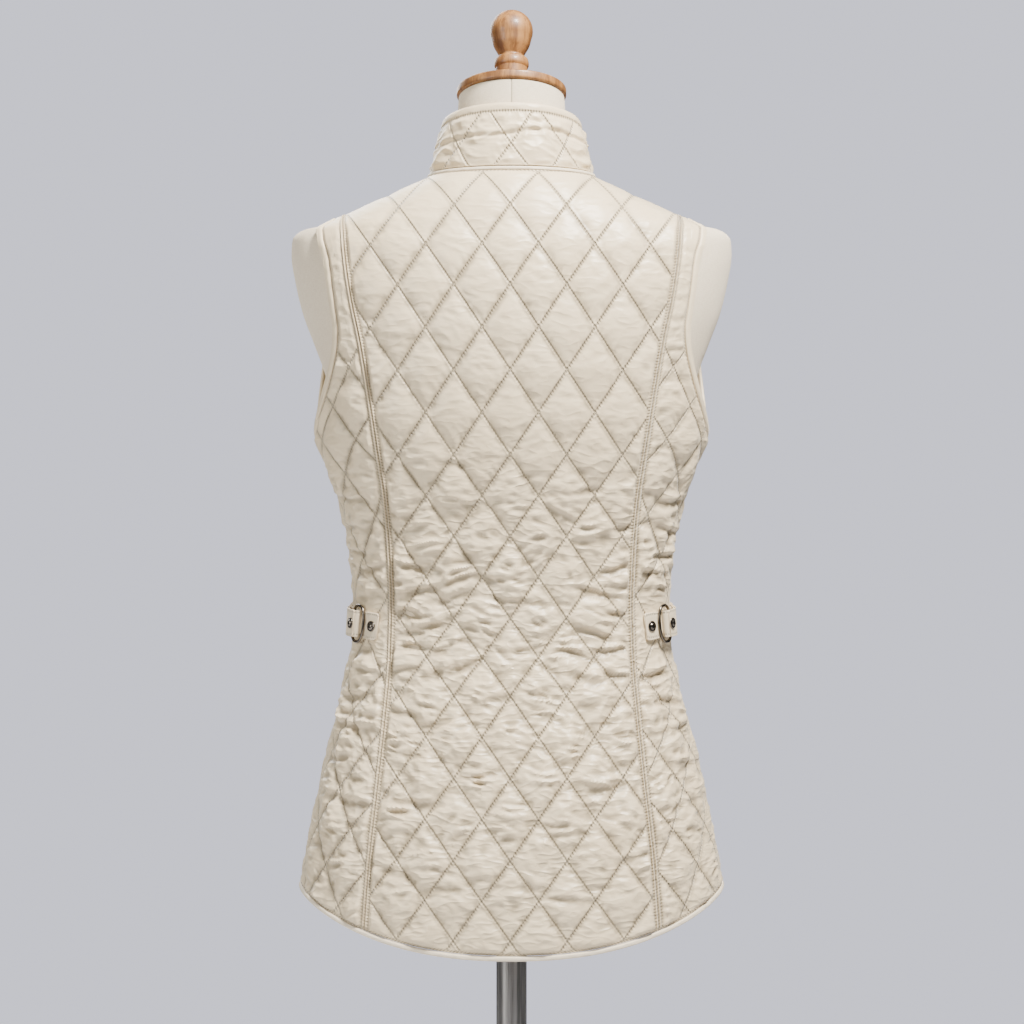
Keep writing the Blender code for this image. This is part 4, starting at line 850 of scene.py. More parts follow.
@dataclass(frozen=True)
class QuiltedCloth(Finish):
    """Satin-faced cloth with two crossing families of stitch lines and twin-needle seams.

    The pattern UV counts the stitch lines of both families. The attributes seam_across and
    seam_along give millimetres from and along the nearest twin-needle seam, edge gives them from
    the nearest bound edge, stitched is 1 where the quilting runs, and hollow_shade is the relief's
    depth below its surroundings, by which the colour is darkened there as painted shade.
    """

    groove_mm: float = 0.60
    crumple_mm: float = 2.7
    seam_half_mm: float = 3.1
    binding_row_mm: float = 0.9
    hollow_shade_share: float = 0.9
    pitch_mm: float = 0.62
    quilting_stitch_mm: float = 3.0
    seam_stitch_mm: float = 2.8

    def surface(self, sheet: NodeSheet) -> tuple:
        """Weave, stitch grooves and seams over the cloth's colour, with painted shade in the relief's
        hollows and in the stitch grooves and holes.
        """
        uv = sheet.add("ShaderNodeUVMap", uv_map="pattern").outputs["UV"]
        first, second, _ = sheet.parts(uv)
        height, shade = self.quilting_rows(sheet, first, second)
        height, shade = self.seam_rows(sheet, height, shade)
        x = sheet.times(sheet.plus(first, second), DIAMOND_WIDTH * 500)
        y = sheet.times(sheet.minus(first, second), DIAMOND_HEIGHT * 500)
        weave = woven(sheet, sheet.joined(x, y), self.pitch_mm)
        crumple = sheet.noise(sheet.stretched(sheet.joined(x, y), (0.050, 0.115, 1.0)), 1.0, 1.2, 0.45)
        ridge = sheet.math("ABSOLUTE", sheet.minus(crumple, 0.5))
        up = sheet.parts(sheet.place())[2]
        lower = sheet.ramp(up, 1.06, 1.22, 1.5, 0.55)
        creased = sheet.times(sheet.math("MINIMUM", ridge, 0.16), lower)
        height = sheet.scaled_onto(creased, -self.crumple_mm, height)
        height = sheet.scaled_onto(weave["Height"], 0.012, height)
        colour = sheet.blended(sheet.ramp(clouded(sheet), -0.7, 0.5), self.dark, self.colour)
        # Painted shade: the cloth's colour darkens in the relief's hollows.
        hollow_shade = sheet.times(sheet.share("hollow_shade"), self.hollow_shade_share)
        colour = sheet.blended(hollow_shade, colour, self.dark_part(0.55))
        colour = sheet.blended(sheet.math("MINIMUM", shade, 0.85), colour, self.dark_part(0.42))
        roughness = sheet.scaled_onto(weave["Slubs"], 0.05, self.roughness)
        return colour, roughness, sheet.relief(height)

    def quilting_rows(self, sheet: NodeSheet, first: Socket, second: Socket) -> tuple:
        """Relief and shade of both families of quilting lines, from their counts.

        The first family shows as a soft groove, the second as separate holes between its stitches.
        """
        rows = []
        for own, other, dotted in ((second, first, 0.35), (first, second, 1.0)):
            centred = sheet.minus(own, sheet.math("ROUND", own))
            across = sheet.times(centred, ROW_GAP_MM)
            along = sheet.times(other, SIDE_STEP_MM)
            rows.append((stitches(sheet, across, along, self.quilting_stitch_mm), dotted))
        inside = sheet.ramp(sheet.share("seam_across"), self.seam_half_mm, self.seam_half_mm + 1.0)
        plain = sheet.times(sheet.ramp(sheet.share("edge"), 1.0, 3.5), sheet.share("stitched"))
        inside = sheet.times(inside, plain)
        height, shade = 0.0, 0.0
        for row, dotted in rows:
            for part, factor in (("Groove", -self.groove_mm), ("Lip", 0.95 - 0.35 * dotted),
                                 ("Hole", -0.90 * dotted), ("Thread", 0.35)):
                height = sheet.scaled_onto(row[part], factor, height)
            shade = sheet.scaled_onto(row["Hole"], dotted * 1.10, shade)
            shade = sheet.scaled_onto(row["Groove"], 0.62 - 0.52 * dotted, shade)
        return sheet.times(height, inside), sheet.times(shade, inside)

    def seam_rows(self, sheet: NodeSheet, height: Socket, shade: Socket) -> tuple:
        """Adds to relief and shade the ridge and rows of the twin-needle seams and the bound edges' row."""
        seam_across, seam_along = sheet.share("seam_across"), sheet.share("seam_along")
        x, _, up = sheet.parts(sheet.place())
        beside = sheet.times(sheet.scaled_onto(sheet.math("ABSOLUTE", x), 0.8, up), 1000.0)
        bound = sheet.minus(sheet.share("edge"), self.binding_row_mm)
        outer = sheet.minus(seam_across, self.seam_half_mm)
        height = sheet.scaled_onto(sheet.bell(sheet.minus(seam_across, 1.5), 0.9), 0.6, height)
        for across, along, depth, dotted in ((seam_across, seam_along, 0.1, 0.60), (bound, beside, 0.8, 1.0),
                                             (outer, seam_along, 0.8, 1.0)):
            row = stitches(sheet, across, along, self.seam_stitch_mm)
            height = sheet.scaled_onto(row["Hole"], -depth, height)
            height = sheet.scaled_onto(row["Groove"], -0.25, height)
            shade = sheet.scaled_onto(row["Hole"], 0.90 * dotted, shade)
            shade = sheet.scaled_onto(row["Groove"], 0.48 - 0.32 * dotted, shade)
        return height, shade


@dataclass(frozen=True)
class PlainCloth(Finish):
    """Plain woven cloth; its pattern UV is in millimetres, along and across the strip.

    edge_stitch_mm puts a row of stitches that far inside both edges of a strip of half_width_mm,
    mottle is how much of the colour's unevenness comes from slubs, and back_seam draws a seam up
    the centre back.
    """

    pitch_mm: float = 0.6
    depth_mm: float = 0.02
    edge_stitch_mm: float = 0.0
    half_width_mm: float = 0.0
    mottle: float = 0.0
    back_seam: bool = False

    def surface(self, sheet: NodeSheet) -> tuple:
        """Weave and, where asked for, a seam up the centre back and stitches along each edge."""
        place = sheet.add("ShaderNodeUVMap", uv_map="pattern").outputs["UV"]
        weave = woven(sheet, place, self.pitch_mm)
        cloud = clouded(sheet)
        height = sheet.times(weave["Height"], self.depth_mm)
        shade = sheet.ramp(cloud, -0.7, 0.5)
        if self.mottle:
            slubs = sheet.ramp(weave["Slubs"], -0.35, 0.35)
            shade = sheet.scaled_onto(slubs, self.mottle, sheet.times(shade, 1 - self.mottle))
        colour = sheet.blended(shade, self.dark, self.colour)
        if self.back_seam:
            x, y, _ = sheet.parts(sheet.place())
            # The seam is a shallow groove in the relief, with painted shade darkening the colour along it.
            line = sheet.times(sheet.bell(sheet.times(x, 1000.0), 0.5), sheet.ramp(y, 0.0, 0.01))
            height = sheet.scaled_onto(line, -0.5, height)
            colour = sheet.blended(sheet.times(line, 0.7), colour, self.dark_part(0.3))
        if self.edge_stitch_mm:
            along, across, _ = sheet.parts(place)
            inwards = self.half_width_mm - self.edge_stitch_mm
            inwards = sheet.minus(inwards, sheet.math("ABSOLUTE", across))
            row = stitches(sheet, inwards, along, 2.4)
            height = sheet.scaled_onto(row["Groove"], -0.30, height)
            height = sheet.scaled_onto(row["Thread"], 0.25, height)
            height = sheet.scaled_onto(row["Hole"], -0.25, height)
            # Painted shade in the stitches' groove and holes darkens the colour.
            dark = sheet.scaled_onto(row["Groove"], 0.18, sheet.times(row["Hole"], 0.45))
            colour = sheet.blended(dark, colour, self.dark_part(0.4))
        roughness = sheet.scaled_onto(weave["Slubs"], 0.06, self.roughness)
        return colour, roughness, sheet.relief(height)


@dataclass(frozen=True)
class TurnedWood(Finish):
    """Turned hardwood under satin varnish, with its grain up the piece."""

    def surface(self, sheet: NodeSheet) -> tuple:
        """Long grain lines and fine pores from noise stretched along Z."""
        place = sheet.place()
        bands = sheet.noise(sheet.stretched(place, (1.0, 1.0, 0.16)), 150.0, 4.0, 0.6)
        pores = sheet.noise(sheet.stretched(place, (1.0, 1.0, 0.05)), 900.0, 2.0, 0.7)
        grain = sheet.plus(sheet.times(bands, 0.8), sheet.times(pores, 0.35))
        colour = sheet.blended(sheet.ramp(grain, 0.42, 0.72), self.dark, self.colour)
        roughness = sheet.scaled_onto(pores, 0.15, self.roughness)
        return colour, roughness, sheet.relief(pores, 0.03)


@dataclass(frozen=True)
class BrushedSteel(Finish):
    """Steel brushed along its length or round its plate."""

    grain: tuple = (1.0, 1.0, 0.01)

    def surface(self, sheet: NodeSheet) -> tuple:
        """Fine scratches along the brushing, and soft dark and light bands stretched along it, partly
        brushing and partly painted reflection bands, darkest on the tube.
        """
        place = sheet.place()
        fine = sheet.noise(sheet.stretched(place, self.grain), 2600.0, 2.0, 0.7)
        bands = sheet.noise(sheet.stretched(place, self.grain), 260.0, 2.0, 0.5)
        both = sheet.plus(sheet.times(fine, 0.5), sheet.times(bands, 0.6))
        # The bands' dark and light are partly the brushing's tone and partly painted reflection.
        colour = sheet.blended(sheet.ramp(both, 0.30, 0.80), self.dark, self.colour)
        roughness = sheet.scaled_onto(both, 0.20, self.roughness)
        return colour, roughness, sheet.relief(fine, 0.01)


QUILTED = QuiltedCloth("quilted_cloth", "quilted_satin_cloth", (0.800, 0.660, 0.440), (0.750, 0.605, 0.385),
                       roughness=0.41, sheen=0.20, specular=0.50)
BINDING = PlainCloth("quilted_cloth", "binding_cloth", (0.820, 0.685, 0.465), (0.760, 0.620, 0.405),
                     roughness=0.46, sheen=0.25)
PIPING = PlainCloth("piping", "cream_piping", (0.840, 0.730, 0.550), (0.790, 0.670, 0.490),
                    roughness=0.5, sheen=0.2)
STRAP = PlainCloth("strap_cloth", "waist_strap_cloth", (0.760, 0.640, 0.450), (0.700, 0.575, 0.390),
                   roughness=0.6, sheen=0.2, edge_stitch_mm=2.2, half_width_mm=12.7)
LINEN = PlainCloth("linen", "form_linen", (0.940, 0.830, 0.640), (0.760, 0.630, 0.445),
                   roughness=0.9, sheen=0.15, specular=0.2, pitch_mm=0.9, depth_mm=0.16, mottle=0.8,
                   back_seam=True)
ZIP_TAPE = PlainCloth("zip_tape", "zip_tape_cloth", (0.700, 0.640, 0.550), (0.640, 0.580, 0.490),
                      roughness=0.6)
NICKEL = Finish("dark_nickel", "antique_nickel", (0.300, 0.265, 0.225), (0.070, 0.058, 0.045),
                roughness=0.26, metallic=1.0)
WOOD = TurnedWood("turned_wood", "varnished_hardwood", (0.330, 0.153, 0.044), (0.140, 0.054, 0.013),
                  roughness=0.45, coat=0.15)
# The tube's near-black dark colour makes its painted dark reflection bands.
STEEL = BrushedSteel("brushed_steel", "brushed_steel_tube", (0.56, 0.54, 0.52), (0.12, 0.115, 0.11),
                     roughness=0.26, metallic=1.0)
BASE_STEEL = BrushedSteel("brushed_steel", "brushed_steel_plate", (0.58, 0.57, 0.56), (0.36, 0.35, 0.34),
                          roughness=0.30, metallic=1.0, grain=(0.02, 1.0, 1.0))


# ---- quilted cloth

HEM_ROOM = HEM_BINDING_WIDTH + 2 * GAP
NECK_ROOM = PIPING_RADIUS + 2 * GAP
CHORD_SAG = 0.0003
SEAM_SHIFT = 0.0002
ARMHOLE_START = 0.00004
ARMHOLE_END = 0.4990
ARMHOLE_ROOM = BINDING_WIDTH + GAP + CHORD_SAG
ARMHOLE_CENTRE = (0.16, 0.0, ARMHOLE_MIDDLE_Z)
TAB_Z = 1.0092
TAB_PRESS_MIDDLE = (0.138, 0.0, TAB_Z)
TAB_PRESS_REACH = (0.026, 0.060, 0.026)

# Main creases of the back. Columns: x, height and half length in mm, width and depth in tenths of a mm,
# slope in hundredths.
CREASE_STRENGTH = 2.00
CREASES = np.array((
    (90, 1062, 14, 34, 13, 15), (82, 1040, 18, 40, 15, -20), (94, 1021, 15, 36, 15, 10),
    (76, 1006, 20, 42, 14, -35), (92, 990, 14, 34, 15, 20), (60, 988, 16, 38, 12, -45),
    (95, 968, 13, 36, 13, -15), (70, 965, 18, 42, 11, -30), (40, 972, 15, 36, 10, -50),
    (-92, 1058, 14, 34, 12, -20), (-80, 1036, 17, 40, 14, 25), (-93, 1018, 15, 36, 15, 5),
    (-74, 1002, 19, 42, 14, 35), (-90, 985, 15, 34, 14, -10), (-58, 984, 16, 38, 11, 40),
    (-94, 963, 14, 36, 13, 20), (-68, 960, 18, 42, 11, 30), (-36, 968, 15, 36, 9, 45),
    (12, 1050, 17, 36, 7, -12), (-20, 1028, 18, 38, 8, 10), (26, 1012, 16, 36, 8, -20),
    (-4, 985, 18, 40, 9, 5), (18, 940, 20, 44, 9, -25), (-42, 925, 18, 40, 9, 25),
    (64, 920, 20, 44, 10, -35), (100, 930, 15, 38, 12, 20), (-98, 922, 15, 38, 12, -20),
    (50, 1155, 14, 34, 6, 10), (-62, 1130, 15, 36, 7, -15), (108, 1110, 12, 32, 10, 25),
    (-108, 1098, 12, 32, 10, -20), (90, 850, 20, 46, 10, 20), (-84, 862, 20, 46, 10, -20),
    (30, 880, 20, 44, 8, 12), (-12, 835, 22, 48, 8, -10), (112, 790, 18, 44, 10, 25),
    (-110, 800, 18, 44, 10, -22), (52, 775, 20, 46, 8, -15), (-50, 765, 20, 46, 8, 18),
    (146, 1075, 13, 34, 15, 12), (150, 1098, 14, 36, 14, -18), (152, 1125, 13, 34, 13, 20),
    (128, 1060, 12, 32, 14, -22), (130, 965, 14, 36, 14, 25), (140, 942, 15, 38, 13, -20),
    (150, 915, 16, 40, 12, 18), (158, 885, 16, 40, 11, -18), (150, 848, 17, 42, 10, 20),
    (-146, 1072, 13, 34, 15, -15), (-150, 1094, 14, 36, 14, 20), (-152, 1122, 13, 34, 13, -18),
    (-128, 1056, 12, 32, 14, 20), (-130, 962, 14, 36, 14, -22), (-140, 938, 15, 38, 13, 20),
    (-150, 911, 16, 40, 12, -20), (-158, 880, 16, 40, 11, 20), (-150, 842, 17, 42, 10, -18),
)) / (1000, 1000, 1, 10, 10, 100)


def pillow(distance: Array) -> Array:
    """Rise of the padding away from a stitch line, from 0 to 1.

    It is 1 less e to the minus sixth of (root of (d squared + 1) less 1), with d in millimetres.
    """
    return 1 - np.exp(-(np.sqrt(distance**2 + 1) - 1) / 6)


@dataclass
class Quilting:
    """The relief of quilted cloth over its plain surface, in millimetres."""

    seed: int
    puff: float = 3.8

    def __post_init__(self) -> None:
        """Sets up the noises that the creases follow."""
        self.noises = [SoftNoise(self.seed + step) for step in range(7)]

    def rise(self, counts: Array) -> Array:
        """Puffs: the product of two pillows over the distances to the two families of lines.

        Args:
            counts: the two families' line counts at each point.

        Returns:
            Heights, with small puckers square to each line and ripples in the diamonds' corners.
        """
        offsets = counts - np.round(counts)
        far = np.abs(offsets) * ROW_GAP_MM
        first, second = pillow(far[..., 0]), pillow(far[..., 1])
        height = self.puff * first * second
        for family in (0, 1):
            away = far[..., family]
            along = counts[..., 1 - family] * SIDE_STEP_MM
            side = np.sign(offsets[..., family]) * 31.7 + np.round(counts[..., family]) * 7.3
            tuck = self.noises[family].at(along / 3.6 + side, away / 11 + side)
            height = height + tuck * 0.85 * away / (away + 1.0) * np.exp(-away / 6.0)
        over = np.abs(offsets[..., 0] - offsets[..., 1])
        beside = np.abs(offsets[..., 0] + offsets[..., 1])
        rise_mm = over * DIAMOND_HEIGHT * 500
        sector = np.clip((over - beside) * 8, 0, 1)
        wobble = self.noises[2].at(counts[..., 0] * 9, counts[..., 1] * 9)
        rings = np.sin(2 * math.pi * (rise_mm / 3.5 + beside * 1.1) + wobble * 1.6)
        return height + rings * sector * 0.34 * bump(rise_mm, 10.5) * (0.6 + 0.6 * wobble)

    def folds(self, counts: Array, amount: Array) -> Array:
        """Soft level creases: ridges where smooth noises change sign, longer across than up."""
        across = (counts[..., 0] + counts[..., 1]) * DIAMOND_WIDTH * 500
        up = (counts[..., 0] - counts[..., 1]) * DIAMOND_HEIGHT * 500
        offsets = np.abs(counts - np.round(counts)) * ROW_GAP_MM
        calm = 0.30 + 0.70 * pillow(offsets[..., 0]) * pillow(offsets[..., 1])
        bend = self.noises[3].at(across / 33, up / 33) * 9
        level = 1 - np.abs(self.noises[4].at(across / 21 + up / 90, (up + bend) / 8.5)) * 2.2
        lean = self.noises[5].at((across + up * 0.6) / 15, (up - across * 0.45 + bend) / 7.0)
        slanted = 1 - np.abs(lean) * 2.2
        slow = self.noises[6].at(across / 42, up / 30)
        return calm * amount * (1.30 * level + 0.85 * slanted + 1.60 * slow)


def hand_creases(points: Array) -> Array:
    """Depth of the main creases in mm: a trough across each crease's line, fading to its ends."""
    height = np.zeros(points.shape[:-1])
    for x, z, half, width, depth, slope in CREASES:
        across = (points[..., 0] - x) * 1000
        up = (points[..., 2] - z) * 1000 - slope * across - 0.012 * across**2 / half * 4
        near = (np.abs(across) < half * 2.4) & (np.abs(up) < width * 5) & (points[..., 1] > 0)
        crest = bump(up[near] - width * 1.45, width * 0.8)
        profile = 0.62 * crest - bump(up[near], width)
        height[near] += CREASE_STRENGTH * bump(across[near], half) * depth * profile
    return height


def left_by_straps(points: Array) -> Array:
    """Share of the puffs that the waist straps leave: 1 away from them, a quarter under them."""
    reach = np.abs((np.abs(points) - TAB_PRESS_MIDDLE) / TAB_PRESS_REACH).max(axis=-1)
    return 1 - 0.75 * np.clip(3 * (1.3 - reach), 0, 1)


def crossing(low: Array, high: Array, above: Curve) -> Array:
    """Where a test turns true between two limits, by halving: one answer for each entry."""
    for _ in range(32):
        middle = (low + high) / 2
        passed = above(middle)
        high = np.where(passed, middle, high)
        low = np.where(passed, low, middle)
    return (low + high) / 2


def princess_line(height: Array, shift: float) -> Array:
    """Around of the line beside the princess seam, kept behind the shoulder line."""
    x = smooth(PRINCESS_SEAM, 1, height) + shift
    return np.minimum(around_at(x, height), beside_side_line(height, SEAM_SHIFT))


def armhole_line(front: bool) -> Curve:
    """Around of the cut edge beside the armhole binding, at heights."""
    turns = np.linspace(ARMHOLE_START, ARMHOLE_END, 400) * (-1 if front else 1)
    around, height = moved_aside(armhole_curve, turns, ARMHOLE_ROOM, ARMHOLE_CENTRE)
    order = np.argsort(height)
    return lambda at: np.interp(at, height[order], around[order])


def neck_line() -> Curve:
    """Height of the cut edge below the neck piping, at places around."""
    places = np.linspace(-2.0 + NECK_FRONT_CORNER, 2.0 - NECK_FRONT_CORNER, 801)
    around, height = moved_aside(neck_curve, places, NECK_ROOM, (0.0, 0.005, NECK_BACK_Z))
    order = np.argsort(around)
    return lambda at: np.interp(at, around[order], height[order])


class Seam(Enum):
    """Which edges of a panel are sewn as twin-needle princess seams."""

    NONE = 0
    FIRST = 1
    BOTH = 2


@dataclass
class PanelCut:
    """A body panel's cut: bounds at each height, top line, and how finely it is made."""

    name: str
    first: Curve
    last: Curve
    top: Curve
    columns: int
    rows: int
    seam: Seam
    arms: tuple = ()

    def shares(self, width_mm: float) -> Array:
        """Column places from 0 to 1, closer together beside a twin-needle seam."""
        even = width_mm / self.columns
        fine = np.arange(0, 9.0, 0.6)
        if self.seam is Seam.NONE:
            return np.linspace(0, 1, self.columns + 1)
        if self.seam is Seam.FIRST:
            rest = np.linspace(9.0, width_mm, int((width_mm - 9) / even))
            return np.concatenate((fine, rest)) / width_mm
        rest = np.linspace(9.0, width_mm - 9.0, int((width_mm - 18) / even))
        return np.concatenate((fine, rest, width_mm - fine[::-1])) / width_mm

    def grid(self) -> tuple:
        """Around and height of the panel's grid, rows from the hem up, even along each column."""
        near = 0.03 * np.linspace(0, 1, 120) ** 3
        extra = [at + side * near for at in self.arms for side in (-1, 1)]
        lowest, highest = 0.700, 1.4262
        heights = np.concatenate([np.linspace(lowest, highest, 1400), *extra])
        heights = np.unique(np.clip(heights, lowest, highest))
        first, last = self.first(heights), self.last(heights)

        def at(share: Array, height: Array) -> Array:
            """Around at a share of the way from the first edge to the last."""
            low = np.interp(height, heights, first)
            return low + (np.interp(height, heights, last) - low) * share

        waist = np.full(60, 1.0)
        middle = ring_points(VEST_RINGS, at(np.linspace(0, 1, 60), waist), waist)
        share = self.shares(float(lengths_along(middle)[-1]) * 1000)
        ones = np.ones(len(share))
        low = crossing(lowest * ones, 0.80 * ones, lambda h: h > hem_height(at(share, h)) + HEM_ROOM)
        high = crossing(1.30 * ones, highest * ones, lambda h: h > self.top(at(share, h)))
        column = np.clip(heights[:, None], low, high)
        turned_at = at(share, column)
        arcs = lengths_along(ring_points(VEST_RINGS, turned_at, column))
        even = np.linspace(0, 1, self.rows)
        around, height = np.empty((2, self.rows, len(share)))
        for i in range(len(share)):
            height[:, i] = np.interp(even * arcs[-1, i], arcs[:, i], column[:, i])
            around[:, i] = np.interp(even * arcs[-1, i], arcs[:, i], turned_at[:, i])
        return around, height


def blurred(values: Array, reach: int) -> Array:
    """A grid's values averaged over a square window that reaches so many places each way."""
    for axis in (0, 1):
        count = values.shape[axis]
        places = np.clip(np.arange(count)[None] + np.arange(-reach, reach + 1)[:, None], 0, count - 1)
        values = np.take(values, places, axis=axis).mean(axis=axis)
    return values


@dataclass
class QuiltedPanel:
    """A body panel of quilted cloth: a thin wall whose outer face carries the relief."""

    cut: PanelCut
    counts: Callable[[Array, Array, Array], Array]
    quilting: Quilting
    mirror: bool = False
    hidden: bool = False
    plain_over: float = 9.0

    def build(self) -> Piece:
        """Makes the wall and puts its seam and pattern places on it.

        Returns:
            The panel's object.
        """
        around, height = self.cut.grid()
        base, normals = on_vest(around, height)
        counts = self.counts(base, around, height)
        across = lengths_along(base.transpose(1, 0, 2)).T * 1000
        along = lengths_along(base) * 1000
        width, tall = across[:, -1:], along[-1:, :]
        seam = np.full(height.shape, FAR_MM)
        edge = np.minimum(along, tall - along)
        if self.cut.seam is Seam.NONE:
            edge = np.minimum(edge, np.minimum(across, width - across))
        elif self.cut.seam is Seam.FIRST:
            seam = across
            edge = np.minimum(edge, width - across)
        else:
            seam = np.minimum(across, width - across)
        relief = self.relief(base, counts, seam, along, edge, across > width / 2)
        relief = relief * (1 - 0.5 * eased(0.55, 0.98, 1 - np.abs(normals[..., 1])))
        # Painted shade for the material: the relief's depth below its blurred surroundings, stronger on
        # cloth that faces +y.
        hollow_shade = np.clip(blurred(relief, 5) - relief, 0, 1) * (0.3 + 0.7 * eased(0.0, 0.6, normals[..., 1]))
        outer = base + normals * (relief * 0.001)[..., None]
        points, faces, source = shell(outer, base - normals * WALL, 7)
        if self.mirror:
            points = points * (-1, 1, 1)
        stitched = eased(self.plain_over + 0.004, self.plain_over, height)
        plain = {"seam_across": seam, "seam_along": along, "edge": edge, "stitched": stitched,
                 "hollow_shade": hollow_shade}
        piece = add_piece(self.cut.name, points, faces, QUILTED,
                          counts.reshape(-1, 2)[source], {k: v.ravel()[source] for k, v in plain.items()})
        return piece

    def relief(self, base: Array, counts: Array, seam: Array, along: Array, edge: Array,
               other: Array) -> Array:
        """Puffs, folds, creases and seam puckers in mm, gone at the panel's edges.

        Args:
            base: points of the plain surface.
            counts: stitch-line counts at the points.
            seam: millimetres from the nearest twin-needle seam.
            along: millimetres up the panel.
            edge: millimetres from the nearest other edge.
            other: whether the nearest seam is the panel's second one.

        Returns:
            Millimetres out of the surface.
        """
        height = base[..., 2]
        amount = 0.36 + 1.05 * eased(1.20, 1.05, height) * eased(0.68, 0.84, height)
        amount = amount + 0.45 * np.exp(-seam / 22) * eased(1.36, 1.20, height)
        puffed = 1 - eased(self.plain_over - 0.006, self.plain_over + 0.006, height)
        relief = self.quilting.rise(counts) * puffed + self.quilting.folds(counts, amount)
        ripples = self.quilting.noises[2].at(base[..., 0] * 40, height * 150)
        near = bump(height - self.plain_over + 0.018, 0.028)
        relief = relief + (1 - puffed) * (1.2 + 0.35 * ripples) + near * 1.5 * ripples
        if not self.hidden:
            side = base * (-1, 1, 1) if self.mirror else base
            relief = relief + hand_creases(side)
        relief = relief * left_by_straps(base) * (1 - 0.55 * eased(1.345, 1.395, height))
        inward = eased(2.6, 8.5, seam)
        side_places = along / 3.4 + np.where(other, 40.5, 0)
        tucks = self.quilting.noises[0].at(side_places, seam / 12 + 11)
        relief = relief * inward + 0.80 * tucks * np.exp(-seam / 9) * eased(3.4, 5.0, seam)
        ridge = 1.15 * bump(seam - 1.5, 0.95) + 0.25 * bump(seam, 4.5)
        return (relief + ridge) * eased(0.0, 5.0, edge)


@dataclass
class VestBody:
    """The back, side backs and fronts of the vest."""

    back_columns: int = 196
    back_rows: int = 440
    side_columns: int = 72
    front_columns: int = 96
    front_rows: int = 330
    side_plain_over: float = 1.262

    def back_counts(self, base: Array, around: Array, height: Array) -> Array:
        """Stitch-line counts of the back: from x and the arc up the centre back."""
        return self.turned_counts(base[..., 0] - PATTERN_X, self.row_place(height))

    @staticmethod
    def row_place(height: Array) -> Array:
        """Distance up the pattern at heights, a diamond's height for each row of crossings."""
        arc = CLOTH_MAP.up(height) - CLOTH_MAP.up(CROSSING_Z)
        return np.interp(arc, ROW_ARCS, np.arange(-1, len(ROW_ARCS) - 1) * DIAMOND_HEIGHT)

    def front_counts(self, base: Array, around: Array, height: Array) -> Array:
        """Stitch-line counts of a front: from its distance to the centre front and the arc up.

        The distance is an arc low down and x at the neck.
        """
        arc = CLOTH_MAP.across(np.full_like(around, 2.0), height) - CLOTH_MAP.across(around, height)
        high = eased(1.30, 1.38, height)
        return self.turned_counts(arc * (1 - high) + np.abs(base[..., 0]) * high, self.row_place(height))

    def side_counts(self, base: Array, around: Array, height: Array) -> Array:
        """Stitch-line counts of a side back: diamonds hung on a row of crossings that follows its cut."""
        order = np.interp(height, SIDE_CROSSINGS[:, 0], np.arange(len(SIDE_CROSSINGS)))
        middle = smooth(SIDE_CROSSINGS, 1, height)
        return self.turned_counts(CLOTH_MAP.across(around, height) - middle, order * DIAMOND_HEIGHT)

    @staticmethod
    def turned_counts(across: Array, up: Array) -> Array:
        """Counts of both families of lines from distances across and up: half the sum and difference."""
        a, b = across / (DIAMOND_WIDTH / 2), up / (DIAMOND_HEIGHT / 2)
        return np.stack(((a + b) / 2, (a - b) / 2), axis=-1)

    def build(self) -> None:
        """Makes the five panels."""
        neck = neck_line()
        arm_back, arm_front = armhole_line(False), armhole_line(True)
        ends = np.array((ARMHOLE_START, ARMHOLE_END))
        arm_top, arm_foot = map(float, moved_aside(armhole_curve, ends, ARMHOLE_ROOM, ARMHOLE_CENTRE)[1])

        def back_side(height: Array) -> Array:
            """The back's edge at the princess seam."""
            return princess_line(height, -SEAM_SHIFT)

        def beside_arm(height: Array, shift: float, arm: Curve, nearer: np.ufunc) -> Array:
            """The edge at the side line, cut back to the armhole where that comes first."""
            line = beside_side_line(height, shift)
            inside = (height > arm_foot) & (height < arm_top)
            return np.where(inside, nearer(arm(height), line), line)

        def side_last(height: Array) -> Array:
            """The side back's edge at the side seam."""
            return beside_arm(height, SEAM_SHIFT, arm_back, np.minimum)

        def front_first(height: Array) -> Array:
            """The front's edge at the side seam."""
            return beside_arm(height, -SEAM_SHIFT, arm_front, np.maximum)

        def zip_side(height: Array) -> Array:
            """The front's edge at the zip."""
            return around_at(np.full_like(height, ZIP_HALF_GAP), height, True)

        def inside_shoulder(height: Array) -> Array:
            """Whether the ring at a height ends inside the princess seam."""
            return smooth(VEST_RINGS, 1, height) < smooth(PRINCESS_SEAM, 1, height) + SEAM_SHIFT

        side_top = crossing(np.array(SHOULDER_TIP_Z), np.array(NECK_BACK_Z), inside_shoulder)
        side_top = float(side_top) - 0.0004
        back = PanelCut("back_panel", lambda h: -back_side(h), back_side, neck, self.back_columns,
                        self.back_rows, Seam.BOTH)
        QuiltedPanel(back, self.back_counts, Quilting(11)).build()
        for mirror, side in ((False, "left"), (True, "right")):
            cut = PanelCut("side_back_" + side, lambda h: princess_line(h, SEAM_SHIFT), side_last,
                           lambda around: np.full_like(around, side_top), self.side_columns, self.back_rows,
                           Seam.FIRST, (arm_foot, arm_top))
            QuiltedPanel(cut, self.side_counts, Quilting(31 + mirror * 20), mirror,
                         plain_over=self.side_plain_over).build()
            cut = PanelCut("front_" + side, front_first, zip_side, neck, self.front_columns,
                           self.front_rows, Seam.NONE, (arm_foot, arm_top))
            QuiltedPanel(cut, self.front_counts, Quilting(71 + mirror * 20, 2.6), mirror, True).build()


